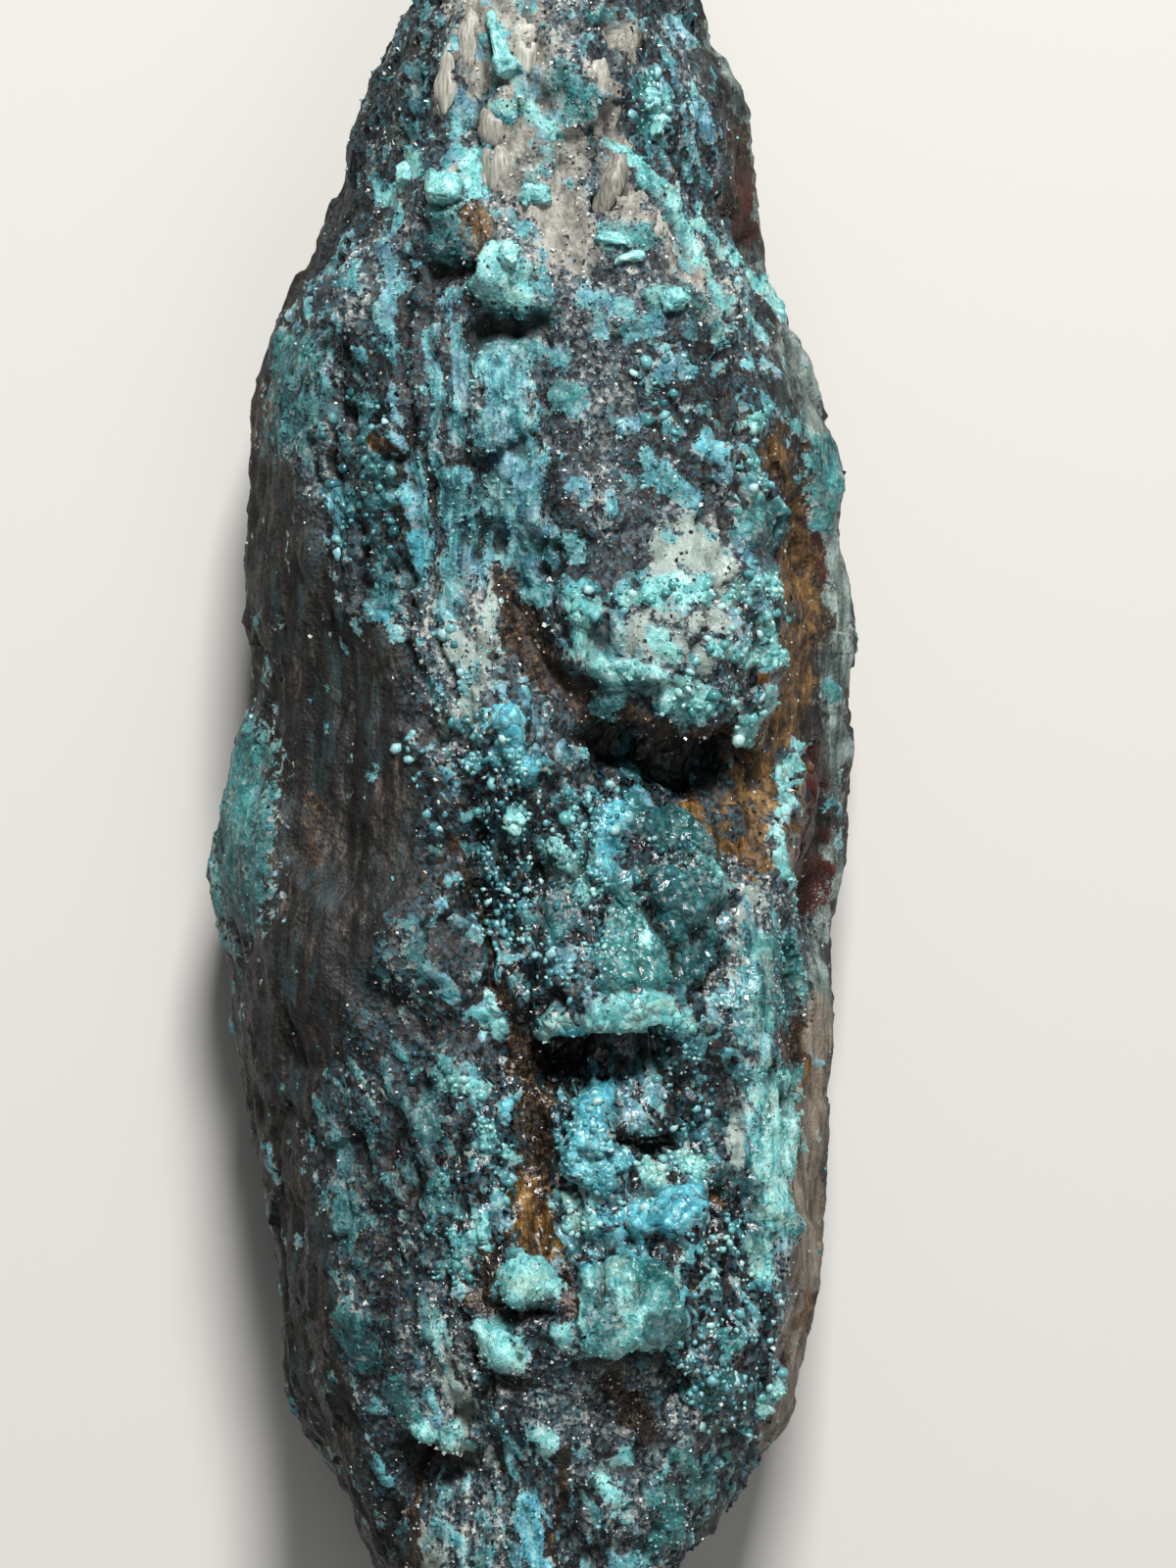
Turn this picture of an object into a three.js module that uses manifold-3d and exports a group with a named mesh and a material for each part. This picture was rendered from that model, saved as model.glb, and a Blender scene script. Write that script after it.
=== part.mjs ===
// A raw turquoise nugget: one lump of dark host rock with turquoise grown through it, 73 mm long.
// It lies on its broken back, long axis along Y, weathered front face up (+Z).
// Units are millimetres. The origin is the middle of the outline, on the resting face.
import * as THREE from "three";
import { ImprovedNoise } from "three/addons/math/ImprovedNoise.js";
import { mergeVertices } from "three/addons/utils/BufferGeometryUtils.js";
import Module from "manifold-3d";

// ---- Driving dimensions ----------------------------------------------------------------------
const LENGTH = 73; // tip to tip, along Y
const HALF = LENGTH / 2;
const RIM_HEIGHT = 8.6; // height of the widest line above the lowest point of the uncut back
const CROWN = 8.3; // how far the front rises above the rim
const FLAT_CUT = 1.2; // how much of the back is broken away flat, to rest on
const ROWS = 68; // facets from end to end
const COLUMNS = 54; // facets round the girth
const END_ROWS = 3; // rows that close each blunt end
const END_DOME = 1.0; // how far the middle of a blunt end stands out past its edge
const FRONT_BIAS = 0.36; // above 0, the columns crowd together on the front
const SKIN = 0.75; // height of the unevenness over the whole skin

// ---- Small tools -----------------------------------------------------------------------------
const { clamp, lerp, smoothstep } = THREE.MathUtils;

// Reads a value off a hand-drawn line of [y, value] pairs that run from the top tip down.
function lineOf(points) {
  return (y) => {
    const next = points.findIndex(([at]) => at <= y);
    if (next <= 0) return points[next === 0 ? 0 : points.length - 1][1];
    const [y0, a] = points[next - 1];
    const [y1, b] = points[next];
    return lerp(a, b, (y0 - y) / (y0 - y1));
  };
}

// A power that keeps the sign, so that a circle's sine and cosine make a rounder or squarer girth.
const signedPower = (value, power) => Math.sign(value) * Math.abs(value) ** power;

// A smooth round bump: 1 in the middle, 0 from the rim of the ellipse outwards.
function bump(x, y, { at, size }) {
  const d = ((x - at[0]) / size[0]) ** 2 + ((y - at[1]) / size[1]) ** 2;
  return d < 1 ? (1 - d) ** 2 : 0;
}

// 1 on a line of [x, y] points, falling to 0 at the given reach to either side.
function nearLine(x, y, points, reach) {
  const here = new THREE.Vector3(x, y, 0);
  const onLine = new THREE.Vector3();
  let nearest = Infinity;
  for (let i = 1; i < points.length; i++) {
    const stretch = new THREE.Line3(
      new THREE.Vector3(...points[i - 1], 0),
      new THREE.Vector3(...points[i], 0),
    );
    stretch.closestPointToPoint(here, true, onLine);
    nearest = Math.min(nearest, onLine.distanceTo(here));
  }
  return 1 - smoothstep(nearest, 0, reach);
}

// Uneven rock, the same on every run: lumps of three sizes, longer along the bedding (Y) than across.
const grain = new ImprovedNoise();
function unevenness(x, y, z) {
  const lumps = grain.noise(x / 3.4 + 7.1, y / 5.2, z / 3.4);
  const knobs = grain.noise(x / 1.7, y / 2.4 + 3.7, z / 1.7);
  const nubs = grain.noise(x / 1.1 + 1.9, y / 1.3, z / 1.1);
  return lumps + 0.6 * knobs + 0.35 * nubs;
}

// ---- The outline, seen from the front --------------------------------------------------------
const leftEdge = lineOf([
  [HALF, -0.9], [34.6, -1.9], [33.2, -2.4], [30, -4.0], [26.9, -5.8], [23.5, -7.1], [20.1, -8.3],
  [17.7, -9.6], [13.9, -10.9], [11.6, -10.6], [8.6, -11.1], [6.6, -10.6], [2.6, -10.8],
  [-1.8, -12.2], [-3.7, -12.4], [-6.5, -11.7], [-9.4, -11.1], [-12.1, -10.9], [-16.7, -9.6],
  [-23.2, -9.0], [-27, -7.1], [-29.9, -5.9], [-33.2, -4.3], [-34.9, -2.6], [-HALF, -1.4],
]);
const rightEdge = lineOf([
  [HALF, 3.1], [35.2, 3.9], [33.6, 5.1], [30, 6.4], [27.9, 7.1], [26.9, 8.1], [22.3, 8.8],
  [18.7, 9.3], [14.3, 11.5], [12, 12.1], [9.3, 11.6], [5.9, 12.3], [-1.8, 12.3], [-2.9, 11.9],
  [-8.5, 11.5], [-11.3, 11.1], [-17.8, 11.2], [-22.6, 10.3], [-24.4, 9.8], [-25.3, 8.7],
  [-27.2, 7.5], [-29.9, 5.7], [-32.6, 4.4], [-34.1, 3.9], [-HALF, 2.3],
]);
// The ridge that carries the crest wanders from side to side: its place as a share of the width.
const crestShare = lineOf([
  [HALF, 0], [24, -0.05], [12, 0.08], [4, 0.2], [-6, 0.12], [-20, 0.02], [-HALF, 0],
]);
// How full the front and the back stand at each place, as a share of their greatest height.
const crownShare = lineOf([
  [HALF, 0.3], [34.5, 0.44], [31, 0.56], [27, 0.78], [21, 0.84], [17, 0.98], [8, 1.0], [-8, 1.03],
  [-14, 0.92], [-20, 0.98], [-25, 0.8], [-30, 0.74], [-34, 0.5], [-HALF, 0.34],
]);
const backShare = lineOf([
  [HALF, 0.28], [33, 0.5], [28, 0.86], [10, 1.0], [-6, 0.98], [-20, 1.0], [-29, 0.78],
  [-34, 0.52], [-HALF, 0.3],
]);
// How far the rim stands above or below its usual height.
const rimShift = lineOf([
  [HALF, 1.6], [27, 0.9], [18, -0.3], [8, -0.6], [-3, -1.2], [-12, 0.1], [-24, 0.5], [-HALF, -0.9],
]);

// ---- The relief of the front: heights added to the crown ---------------------------------------
// A tall front mass stands over lower shelves to its left and right in the upper half.
const massLeft = lineOf([
  [HALF, -3.4], [28.3, -3.6], [23.6, -4.4], [18.8, -6.9], [14.6, -8.9], [11, -10], [-HALF, -12],
]);
const massRight = lineOf([
  [HALF, 2.4], [24, 3.8], [20.2, 6.0], [17.6, 7.8], [12, 9.4], [6, 9.8], [2.2, 8.9], [-HALF, 12],
]);
const SHELF_DROP = 2.1; // the shelves lie this far under the front mass
const SHELF_EDGE = 1.1; // width of the slope between them

const MOUNDS = [
  { name: "shoulder over the hollow", at: [5.7, 5.6], size: [4.6, 5.6], height: 1.6 },
  { name: "block over the upper ledge", at: [3.2, -7.4], size: [3.6, 3.4], height: 1.3 },
  { name: "block over the lower ledge", at: [3.6, -19.6], size: [3.6, 3.0], height: 1.1 },
  { name: "knob left of the lower block", at: [-0.6, -18.9], size: [1.9, 1.6], height: 1.0 },
  { name: "knob below it", at: [-1.6, -21.9], size: [1.9, 1.7], height: 1.1 },
  { name: "crumbly knob at the top", at: [-1.4, 19.4], size: [2.4, 2.0], height: 1.5 },
  { name: "blocky crystal", at: [-3.3, 21.8], size: [1.6, 2.0], height: 1.3 },
  { name: "pale ridge", at: [-2.0, 4.4], size: [1.9, 6.0], height: 0.9 },
  { name: "banded swell on the left", at: [-4.2, 13.5], size: [3.4, 6.5], height: 0.7 },
  { name: "blue rib on the left slope", at: [-4.9, -6.0], size: [1.4, 2.4], height: 0.7 },
  { name: "pair of beads near the foot", at: [-3.7, -24.4], size: [1.8, 1.4], height: 0.9 },
  { name: "swell on the right", at: [8.7, -9.5], size: [2.6, 6.0], height: 0.8 },
  { name: "vein rib on the right", at: [9.4, -1.2], size: [1.3, 4.0], height: 0.7 },
  { name: "foot of the nugget", at: [0.5, -29], size: [5.5, 4.5], height: 0.6 },
];
const HOLLOWS = [
  { name: "dark hollow under the shoulder", at: [5.3, 0.4], size: [3.5, 1.9], height: -3.6 },
  { name: "hollow under the upper ledge", at: [2.6, -10.9], size: [3.6, 1.5], height: -1.5 },
  { name: "hollow under the lower ledge", at: [4.2, -22.9], size: [3.4, 1.6], height: -1.4 },
  { name: "pit in the top", at: [2.7, 22.4], size: [1.3, 1.4], height: -1.5 },
  { name: "dark pit on the left", at: [-6.4, 14.3], size: [2.2, 2.6], height: -1.0 },
  { name: "dark slope on the left", at: [-7.0, 0.5], size: [3.6, 7.0], height: -1.1 },
  { name: "pit near the foot", at: [-4.4, -26.3], size: [2.0, 1.5], height: -1.0 },
  { name: "furrow under the crumbly knob", at: [-0.9, 17.0], size: [2.0, 1.2], height: -0.7 },
];
const GULLIES = [
  {
    name: "rusty gully",
    path: [[8.8, 12.4], [9.9, 8.5], [10.2, 4.8], [9.2, 1.2], [8.2, -2.4]],
    reach: 1.5,
    height: -1.3,
  },
  {
    name: "ramp into the hollow",
    path: [[-1.2, 8.4], [0.4, 4.6], [3.0, 1.6]],
    reach: 1.9,
    height: -1.2,
  },
  {
    name: "wet gully",
    path: [[-1.8, -2], [-1.2, -9], [-0.2, -12.2], [0.2, -17.4]],
    reach: 1.4,
    height: -0.9,
  },
  {
    name: "red trough at the right rim",
    path: [[8.4, 25.5], [8.7, 18.8]],
    reach: 1.0,
    height: -0.6,
  },
];
for (const gully of GULLIES) gully.near = (x, y) => nearLine(x, y, gully.path, gully.reach);
for (const lump of [...MOUNDS, ...HOLLOWS]) lump.near = (x, y) => bump(x, y, lump);

function frontRelief(x, y) {
  const inMass =
    smoothstep(x, massLeft(y) - SHELF_EDGE, massLeft(y) + SHELF_EDGE) *
    (1 - smoothstep(x, massRight(y) - SHELF_EDGE, massRight(y) + SHELF_EDGE));
  const shelf = -SHELF_DROP * (1 - inMass);
  return [...MOUNDS, ...HOLLOWS, ...GULLIES].reduce(
    (height, feature) => height + feature.height * feature.near(x, y),
    shelf,
  );
}

// ---- The back ----------------------------------------------------------------------------------
// Broad dished scars in the underside.
const BACK_SCARS = [
  { name: "long scar", at: [-7.5, 7], size: [5, 11], height: 1.3 },
  { name: "scar at the heel", at: [7.0, -19], size: [5, 9], height: 1.2 },
];
// Flat breaks along the joints of the rock. Each takes off what lies beyond its plane.
const BREAKS = [
  { name: "left keel", point: [-8.6, 14, 3.0], out: [-0.7, 0.2, -1] },
  { name: "left heel", point: [-8.6, -12, 2.9], out: [-0.75, -0.24, -1] },
  { name: "right keel", point: [9.8, 4, 3.3], out: [0.85, 0.12, -1] },
  { name: "right heel", point: [7.6, -21, 3.4], out: [0.7, -0.36, -1] },
  { name: "under the top end", point: [1, 28.5, 2.8], out: [0.12, 0.5, -1] },
  { name: "under the bottom end", point: [0, -28, 2.6], out: [-0.1, -0.55, -1] },
];
const BREAK_REACH = 80; // larger than the nugget, so that a break runs clean through

// ---- The skin ----------------------------------------------------------------------------------
// share runs from 0 at the top end to 1 at the bottom end; angle runs round the girth, with
// a quarter turn pointing straight up out of the front.
function skinPoint(share, angle) {
  const side = share < 0.5 ? 1 : -1;
  const rowsIn = ROWS * Math.min(share, 1 - share); // rows between here and the nearer end
  const open = Math.min(1, rowsIn / END_ROWS); // how far the blunt end has opened to its full girth
  const alongBody = clamp((rowsIn - END_ROWS) / (ROWS / 2 - END_ROWS), 0, 1);
  const y = side * lerp(HALF - END_DOME * open ** 2, 0, alongBody);
  const [left, right] = [leftEdge(y), rightEdge(y)];
  const halfWidth = ((right - left) / 2) * open;
  const [across, up] = [Math.cos(angle), Math.sin(angle)];
  const lean = crestShare(y) * Math.max(0, up) ** 2;
  const x = (left + right) / 2 + halfWidth * (signedPower(across, 0.86) + lean * (1 - across ** 2));
  const rim = RIM_HEIGHT + rimShift(y);
  const atTip = clamp(halfWidth / 3, 0, 1); // the relief fades out where the skin closes
  const uneven = SKIN * atTip * unevenness(x, y, up * CROWN);
  if (up >= 0) {
    const relief = frontRelief(x, y) * atTip * smoothstep(up, 0, 0.45);
    const rise = CROWN * crownShare(y) * open * up ** 0.94;
    return [x + (across * uneven) / 2, y, rim + rise + relief + uneven];
  }
  const scars = BACK_SCARS.reduce((height, scar) => height + scar.height * bump(x, y, scar), 0);
  const depth = RIM_HEIGHT * backShare(y) * open * (-up) ** 0.8;
  const dish = scars * atTip * smoothstep(-up, 0, 0.5);
  return [x + (across * uneven) / 2, y, rim - depth + dish + uneven];
}

// A sphere with its poles on Y gives the grid of rows and columns, which the skin is laid over.
function nuggetSkin() {
  const skin = new THREE.SphereGeometry(1, COLUMNS, ROWS);
  const position = skin.getAttribute("position");
  for (let i = 0; i < position.count; i++) {
    const ball = new THREE.Vector3().fromBufferAttribute(position, i);
    const share = Math.acos(clamp(ball.y, -1, 1)) / Math.PI;
    const even = Math.atan2(ball.z, ball.x);
    const angle = even + FRONT_BIAS * Math.cos(even);
    position.setXYZ(i, ...skinPoint(share, angle));
  }
  return skin;
}

// ---- The solid ---------------------------------------------------------------------------------
const wasm = await Module();
wasm.setup();

function solidOf(geometry) {
  const bare = geometry.clone().deleteAttribute("normal").deleteAttribute("uv");
  const merged = mergeVertices(bare, 1e-3);
  const facets = { numProp: 3, vertProperties: merged.attributes.position.array };
  return new wasm.Manifold(new wasm.Mesh({ ...facets, triVerts: new Uint32Array(merged.index.array) }));
}

function geometryOf(solid) {
  const { vertProperties, triVerts } = solid.getMesh();
  return new THREE.BufferGeometry()
    .setAttribute("position", new THREE.BufferAttribute(vertProperties, 3))
    .setIndex(new THREE.BufferAttribute(triVerts, 1));
}

// Everything beyond a plane through a point, as a block that faces out along the plane's normal.
function beyond({ point, out }) {
  const away = new THREE.Vector3(...out).normalize();
  const turn = new THREE.Quaternion().setFromUnitVectors(new THREE.Vector3(0, 0, 1), away);
  const block = new THREE.BoxGeometry(BREAK_REACH, BREAK_REACH, BREAK_REACH)
    .translate(0, 0, BREAK_REACH / 2)
    .applyQuaternion(turn)
    .translate(...point);
  return solidOf(block);
}

function nuggetGeometry() {
  const restingFace = { point: [0, 0, FLAT_CUT], out: [0, 0, -1] };
  const rock = [...BREAKS, restingFace].reduce(
    (left, plane) => left.subtract(beyond(plane)),
    solidOf(nuggetSkin()),
  );
  const geometry = geometryOf(rock);
  geometry.computeBoundingBox();
  const { min, max } = geometry.boundingBox;
  geometry.translate(-(min.x + max.x) / 2, -(min.y + max.y) / 2, -min.z);
  geometry.computeVertexNormals();
  return geometry;
}

const turquoiseInRock = new THREE.MeshStandardMaterial({
  color: "#4f8f92",
  roughness: 0.6,
  metalness: 0,
  flatShading: true,
});

const nugget = new THREE.Mesh(nuggetGeometry(), turquoiseInRock);
nugget.name = "nugget";

const part = new THREE.Group();
part.add(nugget);

export default part;
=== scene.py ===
import itertools
import math

import bmesh
import bpy
import numpy as np
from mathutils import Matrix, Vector
from mathutils.bvhtree import BVHTree


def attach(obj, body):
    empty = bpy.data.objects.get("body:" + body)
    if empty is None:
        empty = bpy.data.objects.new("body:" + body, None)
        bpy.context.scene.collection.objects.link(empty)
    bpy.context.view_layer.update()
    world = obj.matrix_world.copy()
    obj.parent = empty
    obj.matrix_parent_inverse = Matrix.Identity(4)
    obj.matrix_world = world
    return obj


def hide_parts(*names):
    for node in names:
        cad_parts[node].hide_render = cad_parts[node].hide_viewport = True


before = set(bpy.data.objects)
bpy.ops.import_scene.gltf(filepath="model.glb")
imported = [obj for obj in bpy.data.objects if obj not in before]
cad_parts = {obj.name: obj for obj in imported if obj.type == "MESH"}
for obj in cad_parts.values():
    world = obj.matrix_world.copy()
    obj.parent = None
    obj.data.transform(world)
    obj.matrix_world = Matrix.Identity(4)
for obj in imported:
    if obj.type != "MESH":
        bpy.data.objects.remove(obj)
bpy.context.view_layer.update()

# ---- The nugget ------------------------------------------------------------------------------
# One lump of dark, sugary host rock, split from its vein. Turquoise has filled its seams and
# crusted its hollows, iron has rusted in its gullies, and quartz has grown near the narrow end.
# The skin is laid over the CAD solid, then weathered: ledges, gullies, knobs, chips and grains.
MM = 0.001
SPINE_END = 31.5  # the spine that the skin is measured from stops short of the blunt ends
BODY_ROWS = 312
END_ROWS = 24
COLUMNS = 262
SPINE_STOPS = 19
BACK_SPARENESS = 0.35  # columns per degree under the stone, against those on its front
PAST_THE_RIM = 18  # degrees below each rim that still count as the front
SMOOTHING = 2.2  # in rows and columns: takes the facets off the solid
OUTSIDE = 60  # mm from the middle, well clear of the stone
HALFWAY_UP = 8  # mm above the floor

cad_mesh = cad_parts["nugget"].data
cad_points = np.array([vertex.co for vertex in cad_mesh.vertices]) / MM
cad_faces = [tuple(face.vertices) for face in cad_mesh.polygons]
cad_tree = BVHTree.FromPolygons(cad_points.tolist(), cad_faces)


def surface_hit(origin, direction):
    """Where a straight line first meets the CAD solid, in mm."""
    return np.array(cad_tree.ray_cast(Vector(origin), Vector(direction))[0])


def spine_point(y):
    """X and Z of the middle of the stone at this Y."""
    left = surface_hit((-OUTSIDE, y, HALFWAY_UP), (1, 0, 0))
    right = surface_hit((OUTSIDE, y, HALFWAY_UP), (-1, 0, 0))
    middle = (left[0] + right[0]) / 2
    top = surface_hit((middle, y, OUTSIDE), (0, 0, -1))
    bottom = surface_hit((middle, y, -OUTSIDE), (0, 0, 1))
    return middle, (top[2] + bottom[2]) / 2


spine_y = np.linspace(-SPINE_END, SPINE_END, SPINE_STOPS)
spine_x, spine_z = np.array([spine_point(y) for y in spine_y]).T
end_tilts = np.radians(np.linspace(0, 90, END_ROWS + 1)[1:-1])
row_tilt = np.concatenate([-end_tilts[::-1], np.zeros(BODY_ROWS), end_tilts])
row_y = np.concatenate([
    np.full(len(end_tilts), -SPINE_END),
    np.linspace(-SPINE_END, SPINE_END, BODY_ROWS),
    np.full(len(end_tilts), SPINE_END),
])
ROWS = len(row_y)

# Columns run round the girth from the right rim, up over the front, and back underneath.
degrees = np.arange(-90, 270)
front_degrees = (degrees > -PAST_THE_RIM) & (degrees < 180 + PAST_THE_RIM)
turns = np.cumsum(np.where(front_degrees, 1.0, BACK_SPARENESS))
column_turns = np.linspace(0, turns[-1], COLUMNS, endpoint=False)
column_angle = np.radians(np.interp(column_turns, turns, degrees))

skin = np.empty((ROWS, COLUMNS, 3))
for row, (y, tilt) in enumerate(zip(row_y, row_tilt)):
    centre = (np.interp(y, spine_y, spine_x), y, np.interp(y, spine_y, spine_z))
    for column, angle in enumerate(column_angle):
        out = (math.cos(angle) * math.cos(tilt), math.sin(tilt), math.sin(angle) * math.cos(tilt))
        skin[row, column] = surface_hit(centre, out)


def blurred(grid, spread):
    """A grid over the skin, softened along the rows and round the girth."""
    reach = int(3 * spread)
    weights = np.exp(-0.5 * (np.arange(-reach, reach + 1) / spread) ** 2)
    weights /= weights.sum()
    padded = np.concatenate([np.repeat(grid[:1], reach, 0), grid, np.repeat(grid[-1:], reach, 0)])
    along = sum(w * padded[k : k + len(grid)] for k, w in enumerate(weights))
    return sum(w * np.roll(along, k - reach, axis=1) for k, w in enumerate(weights))


def outward(grid):
    """Unit normals of a grid over the skin."""
    down = np.gradient(grid, axis=0)
    across = np.roll(grid, -1, axis=1) - np.roll(grid, 1, axis=1)
    normal = np.cross(across, down)
    return -normal / np.maximum(np.linalg.norm(normal, axis=2, keepdims=True), 1e-9)


skin = blurred(skin, SMOOTHING)
spots = skin.reshape(-1, 3)
face_out = outward(skin).reshape(-1, 3)


# Noise for rock, worked at points in millimetres and the same on every run. The multipliers are
# large primes, which scramble the places of the cells.
def chance(cells, salt):
    """An even scatter of numbers from 0 to 1, one for each whole-numbered cell."""
    x, y, z = np.moveaxis(cells.astype(np.int64).astype(np.uint32), -1, 0)
    mixed = x * np.uint32(374761393) + y * np.uint32(668265263) + z * np.uint32(2246822519)
    mixed += np.uint32(salt * 3266489917 % 2**32)
    mixed = (mixed ^ (mixed >> np.uint32(15))) * np.uint32(2246822519)
    mixed = (mixed ^ (mixed >> np.uint32(13))) * np.uint32(3266489917)
    return (mixed ^ (mixed >> np.uint32(16))) / 4294967295.0


def eased(value, low, high):
    """Rises smoothly from 0 at low to 1 at high."""
    share = np.clip((value - low) / (high - low), 0, 1)
    return share * share * (3 - 2 * share)


def swell(points, size, salt):
    """Smooth lumps and dips of about this size, from -1 to 1. Size may differ along X, Y and Z."""
    place = points / size
    cell = np.floor(place)
    inside = place - cell
    blend = inside * inside * inside * (inside * (inside * 6 - 15) + 10)
    total = 0
    for corner in itertools.product((0, 1), repeat=3):
        lean = np.stack([chance(cell + corner, salt + k) for k in range(3)], -1) * 2 - 1
        share = np.where(np.array(corner) == 1, blend, 1 - blend).prod(-1)
        total = total + share * ((inside - corner) * lean).sum(-1)
    return total * 1.5


def rough(points, size, salt, layers=3):
    """Swells of ever smaller size, each half as high as the last."""
    return sum(swell(points, np.array(size) / 2**k, salt + 10 * k) / 2**k for k in range(layers))


def cobbles(points, size, salt):
    """Packed rounded grains: how far the nearest middle is, the gap to the next, place, own number."""
    place = points / size
    cell = np.floor(place)
    first = np.full(len(points), 9.0)
    second = first.copy()
    offset = np.zeros_like(points)
    number = np.zeros(len(points))
    for step in itertools.product((-1, 0, 1), repeat=3):
        home = cell + step
        middle = home + np.stack([chance(home, salt + k) for k in range(3)], -1)
        away = place - middle
        distance = np.linalg.norm(away, axis=-1)
        nearer = distance < first
        second = np.where(nearer, first, np.minimum(second, distance))
        first = np.where(nearer, distance, first)
        offset = np.where(nearer[:, None], away, offset)
        number = np.where(nearer, chance(home, salt + 5), number)
    return first, second - first, offset, number


def chips(points, size, salt):
    """Broken flat faces, each tilted its own way, from about -1 to 1."""
    _, _, offset, number = cobbles(points, size, salt)
    tilt = np.stack([np.sin(number * turns) for turns in (97, 61, 43)], -1)
    return (offset * tilt).sum(-1) + 0.6 * (number - 0.5)


# Everything on the front is listed, X to the right and Y towards the narrow end, in mm, as
# it looks from this point over the stone, against a level ruler SEEN_LEVEL above the floor. The
# places wander a little with the rock, so that no seam has a drawn edge.
EYE = np.array([2.14, 0.0, 267.4])
SEEN_LEVEL = 7.4
seen = EYE[:2] + (spots[:, :2] - EYE[:2]) * ((EYE[2] - SEEN_LEVEL) / (EYE[2] - spots[:, 2]))[:, None]
SLOW_WANDER, QUICK_WANDER = 0.42, 0.14  # mm
wander = np.stack([rough(spots, 1.5, 11, 3), rough(spots, 1.5, 47, 3)], -1) * SLOW_WANDER
wander += np.stack([rough(spots, 0.5, 61, 2), rough(spots, 0.5, 71, 2)], -1) * QUICK_WANDER
where = seen + wander
# The front gives way to the sides between these two heights, along a line that rises and dips.
FRONT_HEIGHTS = (5.5, 8.0)
on_front = eased(spots[:, 2] + 1.4 * rough(spots, 2.4, 41, 3), *FRONT_HEIGHTS)


def depth_into(path, width):
    """1 on the middle line of a seam, 0 at its edge, below 0 outside it."""
    nearest = np.full(len(where), np.inf)
    stops = [np.array(stop, float) for stop in path]
    for start, end in zip(stops, stops[1:] or stops):
        run = end - start
        along = np.clip((where - start) @ run / max(run @ run, 1e-9), 0, 1)
        nearest = np.minimum(nearest, np.linalg.norm(where - start - along[:, None] * run, axis=1))
    return 1 - nearest / width


# Each seam, crust or patch is (half its width, how far it stands out, its middle line).
FIBROUS_TURQUOISE = [
    (1.10, 0.20, [(-1.0, 17.4), (-1.0, 14.0), (-0.8, 11.0), (-0.4, 9.2)]),
    (0.50, 0.15, [(-0.3, 9.2), (0.1, 7.2)]),
    (0.40, 0.20, [(-2.6, 17.0), (-2.6, 13.4)]),
    (0.55, 0.20, [(-2.9, 11.8), (-3.0, 8.8), (-3.0, 6.4)]),
    (0.34, 0.20, [(-3.9, 17.5), (-3.8, 13.2)]),
    (0.35, 0.15, [(-4.4, 12.4), (-4.2, 8.0)]),
    (0.30, 0.15, [(-2.1, 11.4), (-2.2, 8.4)]),
    (0.35, 0.15, [(-5.4, 20.4), (-5.6, 16.4)]),
    (0.40, 0.15, [(8.6, -5.4), (8.4, -9.6)]),
]
BLUE_SPOTS = [
    (0.40, 0.25, [(1.4, 11.5), (1.8, 11.2)]),
    (0.34, 0.20, [(1.5, 9.3), (1.8, 8.7)]),
    (0.34, 0.20, [(0.4, 9.4), (0.6, 8.8)]),
    (0.52, 0.25, [(4.8, 15.6), (5.3, 15.9)]),
    (0.34, 0.20, [(5.0, 16.7)]),
    (0.42, 0.20, [(3.5, 13.7), (3.9, 13.9)]),
    (0.46, 0.30, [(4.8, 11.9), (5.4, 11.2), (6.2, 10.8)]),
    (0.34, 0.20, [(2.6, 17.4)]),
    (0.30, 0.20, [(3.0, 11.0), (3.1, 10.4)]),
    (0.55, 0.35, [(4.4, -1.5), (5.2, -1.5), (6.3, -2.0)]),
    (0.50, 0.15, [(2.2, 18.6), (3.4, 18.2)]),
    (0.45, 0.15, [(3.6, 17.2), (4.6, 17.6)]),
]
SKY_TURQUOISE = [
    (0.60, 0.35, [(-7.7, 11.2), (-7.2, 10.2)]),
    (0.50, 0.35, [(-7.9, 13.8)]),
    (0.45, 0.35, [(-6.2, 14.5), (-6.4, 13.9)]),
    (0.38, 0.30, [(-6.0, 12.4), (-5.6, 11.6)]),
    (0.42, 0.30, [(-6.0, 10.6), (-5.0, 10.9)]),
    (0.48, 0.35, [(-5.8, 8.4), (-5.7, 6.6)]),
    (0.40, 0.30, [(-4.5, 9.6), (-4.4, 8.4)]),
    (0.42, 0.35, [(6.6, 13.1), (7.0, 12.7)]),
    (0.80, 0.60, [(-1.2, 2.4), (-0.8, 1.4), (-0.4, 0.7)]),
    (0.40, 0.35, [(3.0, -1.2), (2.9, -2.4), (2.6, -3.2)]),
    (0.40, 0.40, [(4.4, -6.2), (4.5, -7.6), (4.8, -8.6)]),
    (0.48, 0.45, [(1.5, -9.4), (1.9, -9.2)]),
    (0.34, 0.35, [(-1.1, -7.0), (-1.1, -7.3)]),
    (0.36, 0.35, [(-0.9, -12.2), (-0.9, -12.7)]),
    (0.70, 0.40, [(2.4, -12.0), (2.6, -13.2), (2.2, -14.6)]),
    (0.60, 0.35, [(3.2, -14.3), (3.0, -15.2)]),
    (0.50, 0.35, [(1.5, -15.2)]),
    (0.85, 0.45, [(4.3, -16.7), (5.3, -16.4)]),
    (0.50, 0.35, [(3.3, -16.6), (2.4, -16.4)]),
    (0.45, 0.30, [(3.2, -17.4), (2.4, -17.8)]),
    (0.60, 0.35, [(4.3, -18.6), (4.5, -19.8)]),
    (0.42, 0.30, [(5.2, -20.0), (5.6, -19.5)]),
    (0.45, 0.30, [(-0.2, -27.4), (-0.2, -28.6), (0.3, -30)]),
]
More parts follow.
